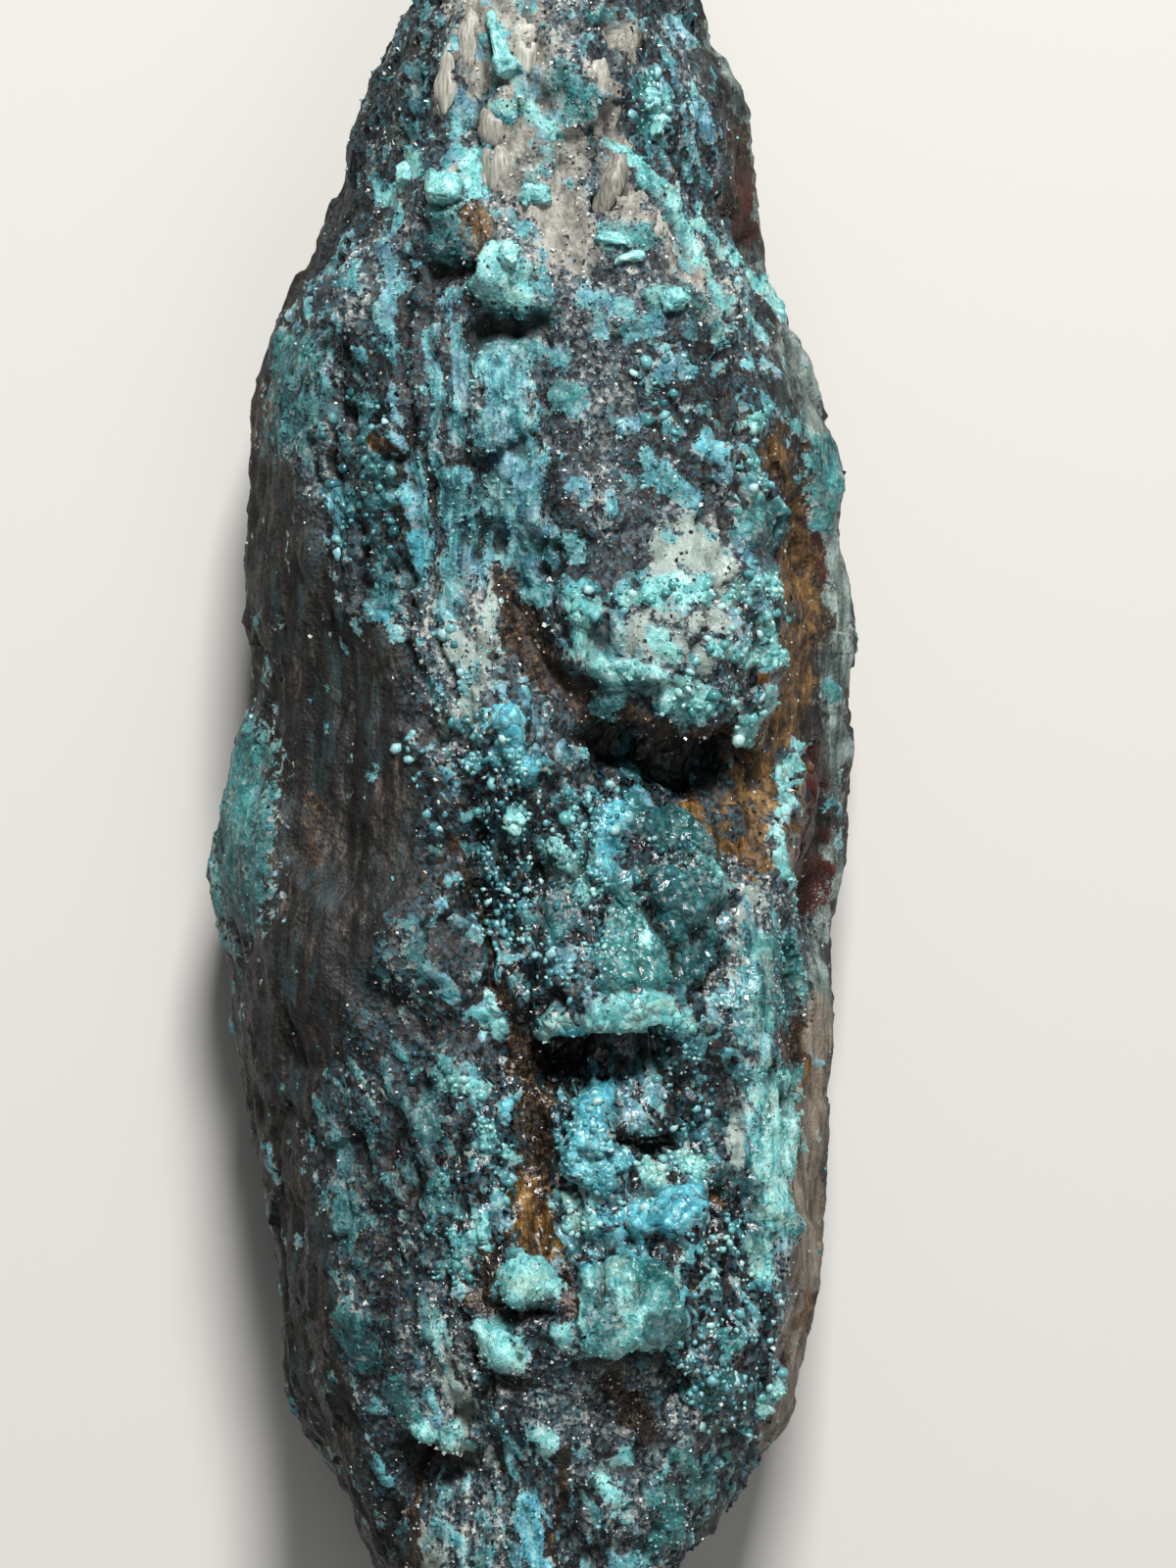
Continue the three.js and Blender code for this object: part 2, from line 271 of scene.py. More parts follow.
TEAL_TURQUOISE = [
    # The next two are partly painted shade: the lower face of the blocky crystal and the ground under the
    # knob.
    (0.80, 0.20, [(-3.3, 21.7), (-3.2, 20.8)]),
    (0.70, 0.10, [(-1.2, 17.9), (0.2, 17.8)]),
    (0.50, 0.35, [(3.0, 20.7), (4.4, 20.9)]),
    (0.75, 0.40, [(5.0, 18.6), (5.7, 18.4)]),
    (0.75, 0.45, [(8.5, 10.5), (9.1, 9.6)]),
    (0.48, 0.35, [(1.2, 15.0), (1.6, 14.8)]),
    (0.45, 0.25, [(2.6, 29.5)]),
    (0.62, 0.35, [(4.0, 26.7), (4.2, 25.4)]),
    (0.90, 0.25, [(1.0, 26.9), (1.7, 26.2)]),
    # Partly painted shade: a facet of the block turned from the lamp.
    (1.10, 0.25, [(5.5, -3.9), (6.3, -4.8), (6.3, -6.2)]),
    (0.80, 0.40, [(3.5, -5.0), (3.1, -6.4)]),
    (0.55, 0.40, [(0.9, -4.4), (1.2, -5.6)]),
    (0.60, 0.30, [(3.6, -7.4), (3.2, -8.0)]),
    (0.80, 0.30, [(9.0, -6.4), (9.6, -7.6), (8.8, -9.0)]),
    (0.60, 0.30, [(9.8, -11.2), (9.7, -11.6)]),
    (0.55, 0.30, [(8.3, -14.8), (8.8, -15.8)]),
    (0.60, 0.30, [(9.6, -16.2), (9.2, -17.0)]),
    (0.60, 0.30, [(6.9, -20.8), (7.4, -21.4)]),
    (0.55, 0.30, [(6.6, -23.4), (7.4, -22.6)]),
    (0.50, 0.30, [(-6.9, -16.0), (-6.8, -17.4)]),
    (0.60, 0.30, [(-7.0, -20.4), (-6.4, -21.8)]),
    (0.60, 0.30, [(-5.4, -23.2), (-4.8, -24.2)]),
    (1.10, 0.30, [(-9.3, 16.4), (-9.2, 13.6)]),
    (1.40, 0.35, [(-11.2, 1.2), (-11.4, -2.6), (-11.4, -4.6)]),
    (0.80, 0.20, [(11.2, 12.6), (11.4, 10.2)]),
    (0.50, 0.25, [(10.0, 13.6)]),
    (0.50, 0.25, [(11.3, 3.4)]),
    (0.60, 0.25, [(4.9, -27.2), (4.9, -28.6)]),
    (0.50, 0.25, [(5.9, -25.8), (6.6, -27.0)]),
]
MINT_CRUST = [
    (0.75, 0.15, [(9.1, -11.4), (9.3, -14.2), (9.1, -16.2)]),
    (0.40, 0.30, [(-5.6, 22.4), (-4.4, 23.6)]),
    (0.55, 0.20, [(-2.4, 23.6), (-2.2, 22.6)]),
    (0.70, 0.55, [(-2.2, 19.2), (-1.4, 20.2)]),
    (0.85, 0.55, [(-1.6, 19.0), (-0.6, 19.2)]),
    (0.34, 0.35, [(-0.9, 26.1), (0.1, 25.6), (0.7, 24.9)]),
    (0.24, 0.45, [(2.8, 24.6), (4.2, 23.4), (5.2, 22.2), (5.8, 20.8)]),
    (0.24, 0.40, [(5.8, 20.8), (7.0, 19.1), (7.5, 18.2)]),
    (0.55, 0.45, [(7.1, 17.4)]),
    (0.26, 0.25, [(6.3, 21.4), (7.9, 20.0), (9.4, 18.2)]),
    (0.48, 0.40, [(8.3, 13.8)]),
    (0.44, 0.40, [(8.4, 12.3)]),
    (0.80, 0.50, [(2.3, 4.6), (3.4, 4.3), (4.4, 4.2)]),
    (0.75, 0.45, [(5.2, 3.7), (6.3, 3.1)]),
    (0.50, 0.40, [(3.0, 2.9)]),
    (0.62, 0.40, [(4.8, 7.5), (6.4, 7.4)]),
    (0.42, 0.40, [(3.9, 7.0), (4.8, 6.8)]),
    (0.46, 0.40, [(1.8, 7.3), (2.4, 6.6)]),
    (0.42, 0.35, [(2.0, 6.4), (1.9, 5.2)]),
    (0.36, 0.35, [(4.8, 5.8), (5.4, 5.0)]),
    (0.45, 0.35, [(7.2, 5.0), (7.9, 4.9)]),
    (0.42, 0.40, [(8.0, 2.1), (8.1, 1.6)]),
    (0.30, 0.40, [(9.2, 8.0), (9.0, 7.0)]),
    (0.30, 0.40, [(8.9, 6.0), (9.0, 5.2), (8.8, 4.6)]),
    (0.30, 0.40, [(8.8, 3.6), (8.6, 2.9), (8.2, 2.3)]),
    (0.42, 0.35, [(7.7, 7.1), (8.3, 7.5)]),
    (0.28, 0.40, [(10.2, 1.6), (9.9, 0.6), (9.5, -0.6), (9.3, -2.0), (9.3, -3.6)]),
    (0.62, 0.50, [(0.8, -2.6), (1.4, -3.2), (1.8, -4.0)]),
    (0.40, 0.45, [(-0.5, -1.3)]),
    (0.36, 0.40, [(1.5, -1.4)]),
    (0.50, 0.35, [(6.2, -2.9), (7.0, -3.2), (7.2, -4.4)]),
    (0.75, 0.50, [(2.9, -9.0), (4.8, -8.9)]),
    (0.42, 0.45, [(0.6, -9.6), (1.5, -8.8)]),
    (0.42, 0.45, [(-1.8, -8.4), (-1.6, -9.3)]),
    (0.50, 0.40, [(6.1, -9.3)]),
    (0.50, 0.45, [(-3.3, -11.1), (-2.2, -11.8)]),
    (0.36, 0.35, [(-4.3, -12.6), (-4.0, -13.2)]),
    (0.42, 0.40, [(-1.8, -13.1), (-1.6, -13.6)]),
    (0.50, 0.45, [(-0.8, -14.1)]),
    (0.55, 0.40, [(-3.6, -15.2), (-3.4, -15.9)]),
    (0.38, 0.40, [(-2.9, -17.2), (-2.8, -17.8)]),
    (0.42, 0.45, [(-2.0, -16.8), (-2.0, -17.5)]),
    (0.45, 0.35, [(-3.2, -18.4)]),
    (0.70, 0.45, [(1.6, -15.9), (2.1, -16.7)]),
    (0.60, 0.40, [(4.9, -14.9)]),
    (0.62, 0.45, [(6.2, -14.4)]),
    (0.95, 0.60, [(-0.4, -19.2), (0.2, -19.1)]),
    (0.80, 0.60, [(-1.6, -21.3), (-0.9, -21.9)]),
    (0.62, 0.40, [(3.2, -18.7), (3.3, -20.0)]),
    (0.95, 0.35, [(2.6, -20.9), (4.2, -20.9)]),
    (0.48, 0.40, [(1.2, -21.0)]),
    (0.55, 0.40, [(8.9, -17.9), (8.7, -18.5)]),
    (0.36, 0.35, [(7.5, -17.5)]),
    (0.52, 0.60, [(-4.3, -25.0)]),
    (0.52, 0.60, [(-3.1, -25.0)]),
    (0.50, 0.35, [(-3.9, -20.1), (-3.7, -21.1)]),
    (0.36, 0.35, [(9.2, -22.8), (8.6, -23.6)]),
    (0.50, 0.40, [(2.6, -26.8), (3.2, -27.6)]),
    (0.40, 0.35, [(3.6, -25.8)]),
    (0.40, 0.35, [(0.3, -24.6), (0.4, -25.4)]),
    (0.36, 0.30, [(-2.1, -29.8)]),
]
PALE_QUARTZ = [
    (2.1, 0.05, [(-1.2, 31.0), (-0.8, 27.0), (0.2, 23.6)]),
    (1.5, 0.05, [(0.4, 23.4), (1.2, 20.6)]),
    (0.75, 0.40, [(-1.4, 24.2), (-1.3, 23.2)]),
    (0.45, 0.35, [(-2.2, 26.8), (-2.3, 25.2)]),
    (0.42, 0.35, [(-3.3, 27.6), (-3.4, 25.9)]),
    (0.40, 0.35, [(-2.6, 28.8), (-2.5, 27.8)]),
    (0.40, 0.30, [(-0.3, 28.3), (-0.2, 27.5)]),
    (0.48, 0.30, [(-0.9, 30.0), (0.2, 29.6)]),
    (0.60, 0.45, [(3.0, 24.0), (3.4, 22.4), (3.5, 21.6)]),
    (0.36, 0.30, [(2.4, 27.4), (2.9, 26.4)]),
    (0.60, 0.15, [(2.6, 25.6), (3.2, 24.6)]),
    (0.45, 0.30, [(3.2, 28.8), (3.4, 28.0)]),
    (0.55, 0.30, [(1.1, 22.4), (1.6, 21.8)]),
    (0.70, 0.20, [(0.4, 24.2), (1.6, 24.0)]),
    (0.55, 0.20, [(0.4, 21.6), (0.8, 20.4), (1.6, 19.8)]),
    (0.45, 0.25, [(-3.0, 23.6), (-2.4, 23.2)]),
    (0.40, 0.25, [(4.4, 21.6), (5.4, 20.4), (6.4, 19.3)]),
    (0.90, 0.25, [(6.1, 9.6), (6.4, 8.6)]),
    (0.90, 0.10, [(5.2, 8.8), (5.0, 7.0)]),
    (0.60, 0.10, [(5.6, 5.4), (6.6, 4.4)]),
    (0.80, 0.35, [(3.4, 5.6), (4.2, 5.6)]),
    (0.60, 0.20, [(7.0, 9.2), (7.2, 8.0)]),
    (0.60, 0.20, [(6.4, 6.2), (7.6, 6.2)]),
    (0.28, 0.30, [(-1.7, 8.2), (-1.7, 6.4), (-1.8, 4.6)]),
    (0.85, 0.15, [(-2.8, 5.0), (-2.6, 3.4), (-2.6, 2.2)]),
    (0.50, 0.15, [(-3.3, 8.6), (-3.2, 6.6)]),
    (0.60, 0.10, [(8.4, -4.4), (8.2, -7.2)]),
    (0.50, 0.20, [(7.9, -13.0), (7.8, -14.4)]),
    (0.50, 0.10, [(-3.2, -21.8), (-2.9, -24.0), (-2.8, -25.8)]),
    (0.60, 0.10, [(-4.0, -28.4), (-3.6, -31.0)]),
]
RUST = [
    (0.70, [(9.1, 12.9), (9.5, 11.5)]),
    (0.75, [(9.7, 10.2), (10.0, 8.4), (10.4, 6.8)]),
    (1.20, [(10.0, 5.4), (9.6, 3.4), (9.0, 1.2), (8.8, -0.4), (8.6, -2.6)]),
    (0.42, [(5.9, -0.6), (6.6, -1.3), (7.4, -2.6)]),
    (0.62, [(-2.1, 21.6), (-2.0, 20.4)]),
    (0.75, [(-0.1, -15.6), (-0.1, -17.2), (0.6, -18.0)]),
    (0.36, [(6.8, -15.5), (7.2, -16.2)]),
    (0.26, [(10.5, -9.8), (10.4, -11.6)]),
    (0.26, [(10.6, -19.4), (10.4, -21.0)]),
    (0.30, [(-10.1, 14.6), (-10.0, 13.2)]),
    (0.35, [(-5.9, 13.2), (-5.5, 12.8)]),
]
BROWN_CRUMB = [
    (0.60, [(-1.2, 7.8), (-1.0, 6.8)]),
    (1.15, [(-0.6, 6.0), (0.3, 4.8), (1.2, 3.6)]),
    (0.75, [(1.2, 3.4), (2.6, 2.8), (4.4, 2.2)]),
    (0.80, [(4.4, 2.2), (6.2, 1.8), (7.8, 1.4)]),
    (0.70, [(-0.6, -9.8), (-0.2, -12.0), (0.0, -14.0), (0.1, -16.4)]),
    (0.60, [(-1.6, -17.6), (-1.8, -19.8)]),
    (0.26, [(-2.9, -2.0), (-1.8, -5.6), (-1.2, -8.4)]),
    (0.50, [(-1.1, -7.8), (-0.7, -9.6)]),
    (0.36, [(-8.4, -0.8), (-8.2, -3.0)]),
    (0.70, [(3.2, -23.0), (4.4, -24.8)]),
    (0.32, [(-4.2, -26.6), (-4.4, -31.0)]),
    (0.28, [(1.2, -25.6), (0.7, -31.0)]),
    (0.55, [(0.8, -18.6), (1.6, -20.0)]),
    (0.60, [(8.0, 24.8), (8.3, 21.0)]),
    (0.80, [(9.6, 12.8), (10.4, 9.4), (10.8, 6.0)]),
    (0.60, [(9.9, -9.4), (10.0, -11.6)]),
]
MAROON = [
    (0.85, [(10.7, 0.6), (10.7, -1.4), (10.6, -4.2)]),
    (0.40, [(8.3, 23.4), (8.4, 21.0)]),
    (0.40, [(10.6, 10.4), (10.9, 8.0)]),
    (0.26, [(-4.3, 2.9)]),
]
# Where the dark sugar of the rock is paler, with more quartz in it.
PALE_ROCK = [
    (2.9, [(-0.6, 31.0), (0.2, 25.0), (0.6, 21.0)]),
    (1.2, [(1.6, 20.6), (2.6, 16.0), (2.8, 10.6)]),
    (1.5, [(-3.2, 6.4), (-2.8, 1.6)]),
    (1.8, [(6.2, 9.6), (7.0, 6.4)]),
    (1.2, [(3.8, 5.6)]),
    (1.4, [(8.2, -4.2), (8.1, -8.4)]),
    (1.5, [(7.8, -12.6), (7.4, -15.4)]),
    (1.8, [(-3.4, -20.6), (-3.0, -28.0)]),
    (1.3, [(4.6, 21.2), (7.2, 18.4)]),
    (1.2, [(-5.2, 21.4), (-7.0, 18.4)]),
    (1.0, [(2.0, -26.6), (3.6, -28.4)]),
    (1.6, [(2.0, -23.8), (6.0, -23.4)]),
    (1.5, [(-2.4, -26.0), (-2.6, -31.0)]),
    (1.4, [(2.4, 19.4), (4.0, 17.4)]),
    (1.1, [(4.6, -26.5), (3.8, -31.0)]),
]
# Cracks that follow the vein, painted dark with shade, as (half width, depth, line).
CRACKS = [
    (0.20, 0.35, [(-1.9, 17.8), (-2.1, 12.0), (-1.9, 8.6)]),
    (0.20, 0.35, [(-3.5, 18.6), (-3.9, 12.4), (-3.5, 7.0), (-3.3, 3.6)]),
    (0.26, 0.40, [(-4.9, 20.0), (-5.0, 16.0), (-4.7, 11.0)]),
    (0.18, 0.25, [(-2.7, 9.4), (-2.6, 5.6)]),
    (0.22, 0.35, [(-6.6, 9.6), (-6.4, 6.0)]),
    (0.22, 0.35, [(-7.4, 16.6), (-7.6, 12.0)]),
    (0.20, 0.30, [(0.5, 17.6), (0.6, 12.6), (0.5, 8.4)]),
    (0.24, 0.35, [(7.5, 16.6), (8.0, 13.0), (7.6, 9.6)]),
    (0.22, 0.30, [(7.4, 22.6), (9.4, 18.6), (10.4, 14.4)]),
    (0.20, 0.35, [(1.9, -0.6), (2.0, -4.4), (2.2, -6.0)]),
    (0.24, 0.40, [(-1.9, -1.6), (-1.8, -5.4), (-1.5, -8.0)]),
    (0.18, 0.30, [(2.0, -4.6), (3.8, -4.2)]),
    (0.22, 0.35, [(7.4, -4.4), (7.2, -7.0), (5.6, -9.4)]),
    (0.22, 0.35, [(1.2, -11.6), (1.2, -15.0), (2.2, -17.6)]),
    (0.22, 0.35, [(3.4, -12.0), (3.6, -13.6)]),
    (0.22, 0.35, [(5.8, -13.0), (7.0, -15.2), (7.8, -16.4)]),
    (0.22, 0.35, [(2.6, -17.8), (2.7, -20.2)]),
    (0.24, 0.35, [(6.0, -18.4), (6.0, -21.6)]),
    (0.24, 0.35, [(-2.8, -13.6), (-2.6, -17.0)]),
    (0.22, 0.30, [(-4.6, -14.0), (-4.4, -19.0)]),
    (0.26, 0.40, [(-1.7, -26.4), (-2.0, -30.6)]),
    (0.22, 0.30, [(1.8, -26.2), (2.0, -30.0)]),
    (0.22, 0.30, [(4.2, -24.6), (4.4, -29.6)]),
]
# Broken plates with flat faces: (what it is, rise, slope along X and Y, corners going clockwise).
PLATES = [
    ("mint", 0.75, (0.00, 0.04), [(2.0, -9.5), (2.5, -7.5), (4.2, -7.9), (5.4, -7.7), (5.6, -9.6)]),
    ("teal", 0.45, (0.10, -0.04), [(2.4, -7.9), (2.4, -4.9), (4.4, -4.2), (5.5, -7.9)]),
    ("teal", 0.45, (-0.16, -0.03), [
        (5.7, -7.6), (4.4, -4.0), (4.8, -3.0), (7.2, -3.2), (7.6, -5.8), (6.6, -7.7),
    ]),
    ("teal", 0.40, (0.00, 0.05), [(4.2, -2.4), (4.0, -0.8), (5.4, -0.9), (7.0, -2.2), (6.6, -2.7)]),
    ("mint", 0.45, (-0.02, -0.10), [(1.9, -21.4), (1.9, -18.4), (3.4, -18.0), (3.7, -21.7)]),
    ("teal", 0.35, (-0.10, -0.05), [(3.7, -21.6), (3.4, -18.0), (5.2, -18.4), (5.6, -21.2)]),
    ("sky", 0.30, (0.00, 0.02), [(3.4, -19.4), (3.8, -17.8), (5.2, -18.0), (4.8, -19.6)]),
    ("sky", 0.60, (0.05, 0.05), [
        (-1.2, 1.2), (-1.5, 2.8), (-0.6, 2.9), (-0.1, 1.2), (0.1, 0.2), (-0.7, 0.2),
    ]),
    ("mint", 0.65, (0.00, 0.10), [(-1.0, -19.8), (-0.8, -18.5), (0.3, -18.4), (0.8, -19.1), (0.6, -19.8)]),
    ("mint", 0.55, (0.05, 0.05), [
        (-1.9, -22.0), (-2.1, -20.9), (-1.0, -20.6), (-0.3, -21.4), (-0.6, -22.3),
    ]),
    ("teal", 0.55, (0.05, 0.30), [(-3.9, 20.9), (-3.9, 22.0), (-2.6, 22.2), (-2.6, 20.6), (-3.3, 20.2)]),
    ("fibrous", 0.22, (0.02, 0.00), [(-2.0, 13.7), (-2.0, 17.2), (-0.1, 17.2), (0.1, 13.4)]),
    ("fibrous", 0.16, (-0.02, 0.02), [(-1.3, 9.2), (-1.8, 13.4), (0.3, 13.0), (0.4, 9.6)]),
    ("mint", 0.50, (0.00, 0.05), [(2.3, 3.9), (2.2, 4.9), (4.6, 4.9), (5.3, 3.8), (3.6, 3.2)]),
    ("quartz", 0.35, (0.02, 0.02), [(3.0, 5.0), (3.0, 6.3), (5.0, 6.2), (4.8, 4.9)]),
    ("blue", 0.35, (0.00, 0.00), [(-4.3, -7.8), (-5.2, -5.5), (-4.6, -5.2), (-3.7, -7.3)]),
    ("mint", 0.40, (0.05, 0.00), [(4.6, 18.0), (4.6, 19.0), (5.9, 18.9), (5.7, 17.9)]),
    ("teal", 0.40, (0.00, 0.05), [(8.1, 9.4), (8.0, 10.6), (9.2, 10.4), (9.3, 9.2)]),
    ("sky", 0.45, (0.05, 0.02), [(1.3, -15.0), (1.6, -12.2), (2.8, -11.6), (3.6, -14.8)]),
    ("sky", 0.50, (0.00, 0.06), [(3.6, -17.3), (3.8, -15.9), (6.2, -15.4), (6.3, -16.8)]),
]
# Turquoise of a deep teal: partly dense dark turquoise, partly painted shade under the ledges and knobs.
DEEP_TEAL_AND_SHADE = [
    (0.75, [(-3.7, 21.2), (-3.0, 20.8)]),
    (0.70, [(-1.5, 17.9), (0.3, 17.8)]),
    (1.35, [(5.2, -3.8), (6.2, -4.8), (6.3, -6.4)]),
    (0.70, [(2.2, 3.4), (4.2, 3.2)]),
    (0.80, [(5.6, 18.0), (6.2, 17.4)]),
    (1.20, [(-6.9, 14.6), (-5.8, 7.6)]),
    (1.30, [(-5.0, 29.0), (-5.6, 24.4)]),
    (0.90, [(8.9, 9.4), (9.2, 8.8)]),
    (0.70, [(7.4, -12.0), (7.6, -16.0)]),
    (0.55, [(2.4, -19.4), (3.0, -20.6)]),
    (0.45, [(4.6, -20.6), (5.2, -21.0)]),
    (2.8, [(-6.6, -8.6), (-5.6, -13.0), (-6.2, -21.0)]),
    (1.00, [(-9.4, 15.2), (-9.0, 12.0)]),
    (0.90, [(-11.0, -3.0), (-11.0, -5.4)]),
    (0.80, [(4.4, -1.6), (6.4, -2.0)]),
    (0.70, [(-5.2, -5.6), (-4.0, -7.8)]),
    (0.80, [(0.8, -3.4), (1.2, -5.6)]),
]
# Where the rock between the seams is darker: partly nearly black rock, partly painted shade under the
# ledges and the shoulder.
DARK_ROCK_AND_SHADE = [
    (2.2, [(-1.4, -1.0), (-0.8, -4.6), (-1.0, -8.0)]),
    (2.0, [(-4.6, -1.0), (-4.8, -4.4)]),
    (1.8, [(0.6, -9.8), (1.6, -11.2), (0.8, -14.0)]),
    (1.8, [(5.4, -10.6), (6.4, -13.6)]),
    (1.6, [(6.6, -16.0), (6.8, -20.0)]),
    (2.2, [(-6.0, -9.0), (-5.4, -14.0), (-5.6, -19.0)]),
    (1.4, [(-2.4, -19.0), (-2.4, -23.0)]),
    (1.6, [(5.2, 17.0), (7.2, 14.6), (5.4, 12.4)]),
    (1.0, [(1.0, 10.0), (1.4, 8.2)]),
    (1.2, [(-5.2, 13.0), (-5.0, 9.6)]),
    (1.4, [(2.6, 1.6), (5.0, 0.8), (8.0, 0.6)]),
    (1.2, [(6.6, -7.4), (7.6, -9.4)]),
    (1.0, [(-4.0, -25.8)]),
    (1.3, [(-5.2, 28.0), (-6.2, 22.0)]),
    (2.8, [(-4.4, -2.0), (-3.4, -8.0)]),
    (1.6, [(-4.6, -26.0), (-5.0, -29.0)]),
    (1.2, [(-5.0, 19.4), (-5.2, 16.6)]),
]
# Where turquoise and rock both come in small rounded cells, grown one against the next.
BEADY = [
    (3.4, [(-1.4, 1.6), (-0.8, -4.0), (-0.6, -8.6)]),
    (4.2, [(4.6, -1.4), (4.6, -8.6)]),
    (1.4, [(8.3, 7.6), (8.4, 3.0)]),
    (1.4, [(2.4, 6.6), (2.2, 4.6)]),
    (3.6, [(2.4, -12.0), (3.0, -16.0)]),
    (2.4, [(-2.6, -11.0), (-2.4, -17.0)]),
    (1.6, [(6.8, -14.0), (7.2, -22.0)]),
    (1.2, [(9.9, 1.0), (9.5, -3.0)]),
    (1.6, [(8.6, 14.0), (8.8, 9.0)]),
    (1.2, [(4.1, 26.6), (4.2, 25.2)]),
    (1.6, [(-6.8, 14.0), (-6.4, 9.0)]),
]
# Where small flecks of turquoise lie close together in the rock.
FLECKED = [
    (3.0, [(-6.6, -8.6), (-5.2, -12.6), (-5.6, -20.0)]),
    (1.8, [(-2.6, -19.0), (-2.6, -24.0)]),
    (2.2, [(0.0, -25.0), (1.0, -31.0)]),
    (1.4, [(-8.6, 15.6), (-7.0, 20.6)]),
    (1.8, [(-6.8, 15.6), (-6.6, 6.0)]),
    (1.5, [(5.6, 26.0), (6.8, 20.6)]),
    (1.6, [(8.6, -5.0), (9.0, -12.0), (8.6, -16.0)]),
    (1.4, [(-4.6, 29.0), (-5.0, 24.6)]),
    (1.6, [(2.0, -23.6), (6.4, -23.4)]),
    (3.0, [(3.6, -12.0), (5.6, -15.0), (6.6, -20.0)]),
    (1.8, [(6.4, -22.6), (7.2, -25.4)]),
]
# Where the rock is drawn out in fibres along the vein, and where it is wet-looking and glassy.
FIBROUS = [
    (1.7, [(-3.2, 18.0), (-3.4, 7.0)]),
    (1.4, [(-0.9, 17.0), (-0.7, 9.5)]),
    (1.6, [(-8.2, 16.0), (-8.4, 9.0)]),
    (1.6, [(5.6, 30.0), (6.6, 21.0)]),
    (1.2, [(9.4, 17.4), (10.8, 13.0)]),
    (3.4, [(-1.6, -25.6), (-0.4, -32.0)]),
    (2.4, [(-6.0, -12.0), (-5.6, -20.0)]),
    (1.4, [(8.6, -6.0), (9.4, -20.0)]),
]
GLASSY = [
    (1.4, [(-0.6, -8.0), (0.0, -14.0), (0.4, -19.0)]),
    (4.2, [(2.0, -12.5), (3.4, -17.4), (3.4, -21.4)]),
    (2.0, [(-2.0, -13.4), (-1.6, -21.4)]),
    (2.2, [(7.6, -16.0), (8.2, -21.6)]),
    (3.2, [(3.6, -2.4), (4.6, -6.0)]),
    (1.5, [(6.8, -3.0), (8.0, -8.0)]),
    (1.0, [(10.7, 0.6), (10.6, -4.2)]),
    (1.6, [(-1.2, 0.4), (-0.8, -5.0)]),
    (1.4, [(7.6, 7.4), (8.2, 3.4)]),
    (1.0, [(6.2, -25.0), (8.4, -22.0)]),
]
# Worn strips along the right-hand rim, pale and greenish above, sandy below.
PALE_RIM = [
    (0.55, [(7.2, 29.0), (8.6, 25.0), (9.0, 20.0)]),
    (0.95, [(10.2, 17.0), (11.7, 12.6), (11.5, 9.4), (12.1, 6.0), (12.2, 0.0), (11.9, -4.0)]),
    (0.60, [(11.5, -5.0), (11.2, -9.0)]),
]
SANDY_RIM = [
    (0.85, [(10.7, -9.0), (10.5, -14.0), (10.6, -18.0), (10.2, -22.0), (9.3, -25.0)]),
]
# Pits are (half width, depth, middle line). Their walls are steep and their floors are painted black as
# shade.
PITS = [
    (0.85, 1.3, [(4.2, 0.9), (5.4, 0.7), (6.5, 0.6)]),
    (0.65, 0.8, [(2.8, 1.3), (3.6, 1.1), (4.6, 0.9)]),
    (0.50, 0.5, [(0.8, 2.0), (1.8, 1.6), (2.8, 1.2)]),
    (0.42, 0.9, [(2.5, 22.6), (2.6, 22.0)]),
    (0.36, 0.5, [(-0.7, 27.8)]),
    (0.42, 0.6, [(-7.2, 14.2)]),
    (0.60, 0.6, [(-5.3, 12.4)]),
    (0.42, 0.5, [(-4.8, 8.4), (-4.8, 6.8)]),
    (0.30, 0.4, [(-3.8, 13.4), (-3.8, 11.8)]),
    (0.50, 0.6, [(0.6, -8.4), (1.1, -8.0)]),
    (0.36, 0.5, [(-0.1, -3.2), (0.1, -3.9)]),
    (0.55, 0.6, [(0.2, -10.4), (1.6, -10.5)]),
    (0.36, 0.5, [(3.3, -13.7), (5.4, -13.9)]),
    (0.34, 0.5, [(7.0, -15.6), (6.9, -17.6), (6.7, -18.6)]),
    (0.34, 0.5, [(-2.4, -20.6), (-2.4, -22.0), (-1.6, -23.2)]),
    (0.45, 0.6, [(-1.4, -20.1), (0.2, -20.2)]),
    (0.30, 0.3, [(5.2, -22.6), (5.4, -23.6)]),
    (0.80, 0.8, [(-4.9, -25.6), (-3.4, -26.4)]),
    (0.30, 0.5, [(4.3, -4.4), (5.0, -6.0), (5.6, -7.2)]),
]
# Ledges are (drop below the edge, how far the floor takes to climb back, the edge left to right).
LEDGES = [
    (0.9, 2.0, [(-2.6, 18.2), (-1.4, 17.9), (0.4, 18.2)]),
    (0.8, 2.0, [(-4.0, 20.3), (-2.7, 20.2)]),
    (0.8, 1.8, [(2.4, 2.5), (4.4, 2.0), (7.2, 1.9), (8.4, 1.3)]),
    (1.3, 2.6, [(0.0, -9.9), (1.8, -9.8), (3.0, -9.5), (5.1, -9.4)]),
    (0.60, 1.3, [(1.6, -21.6), (3.6, -21.8), (5.6, -21.5)]),
    (0.7, 1.6, [(-1.4, -20.0), (0.6, -19.9)]),
    (0.8, 1.8, [(-2.0, -22.4), (-0.2, -22.5)]),
    (0.8, 2.0, [(-4.9, -25.4), (-2.6, -25.5)]),
    (0.3, 1.2, [(1.6, -17.0), (3.6, -17.2), (5.8, -17.1)]),
    (0.5, 1.2, [(2.0, -14.0), (4.0, -13.4), (5.6, -13.6)]),
]


def inside_plate(corners):
    """Millimetres from each spot to the nearest edge of a plate, below 0 outside it."""
    starts = np.array(corners, float)
    inwards = []
    for start, end in zip(starts, np.roll(starts, -1, axis=0)):
        run = end - start
        inwards.append((where - start) @ [run[1], -run[0]] / np.linalg.norm(run))
    return np.min(inwards, axis=0)


plate_depth = [inside_plate(corners) for *_, corners in PLATES]


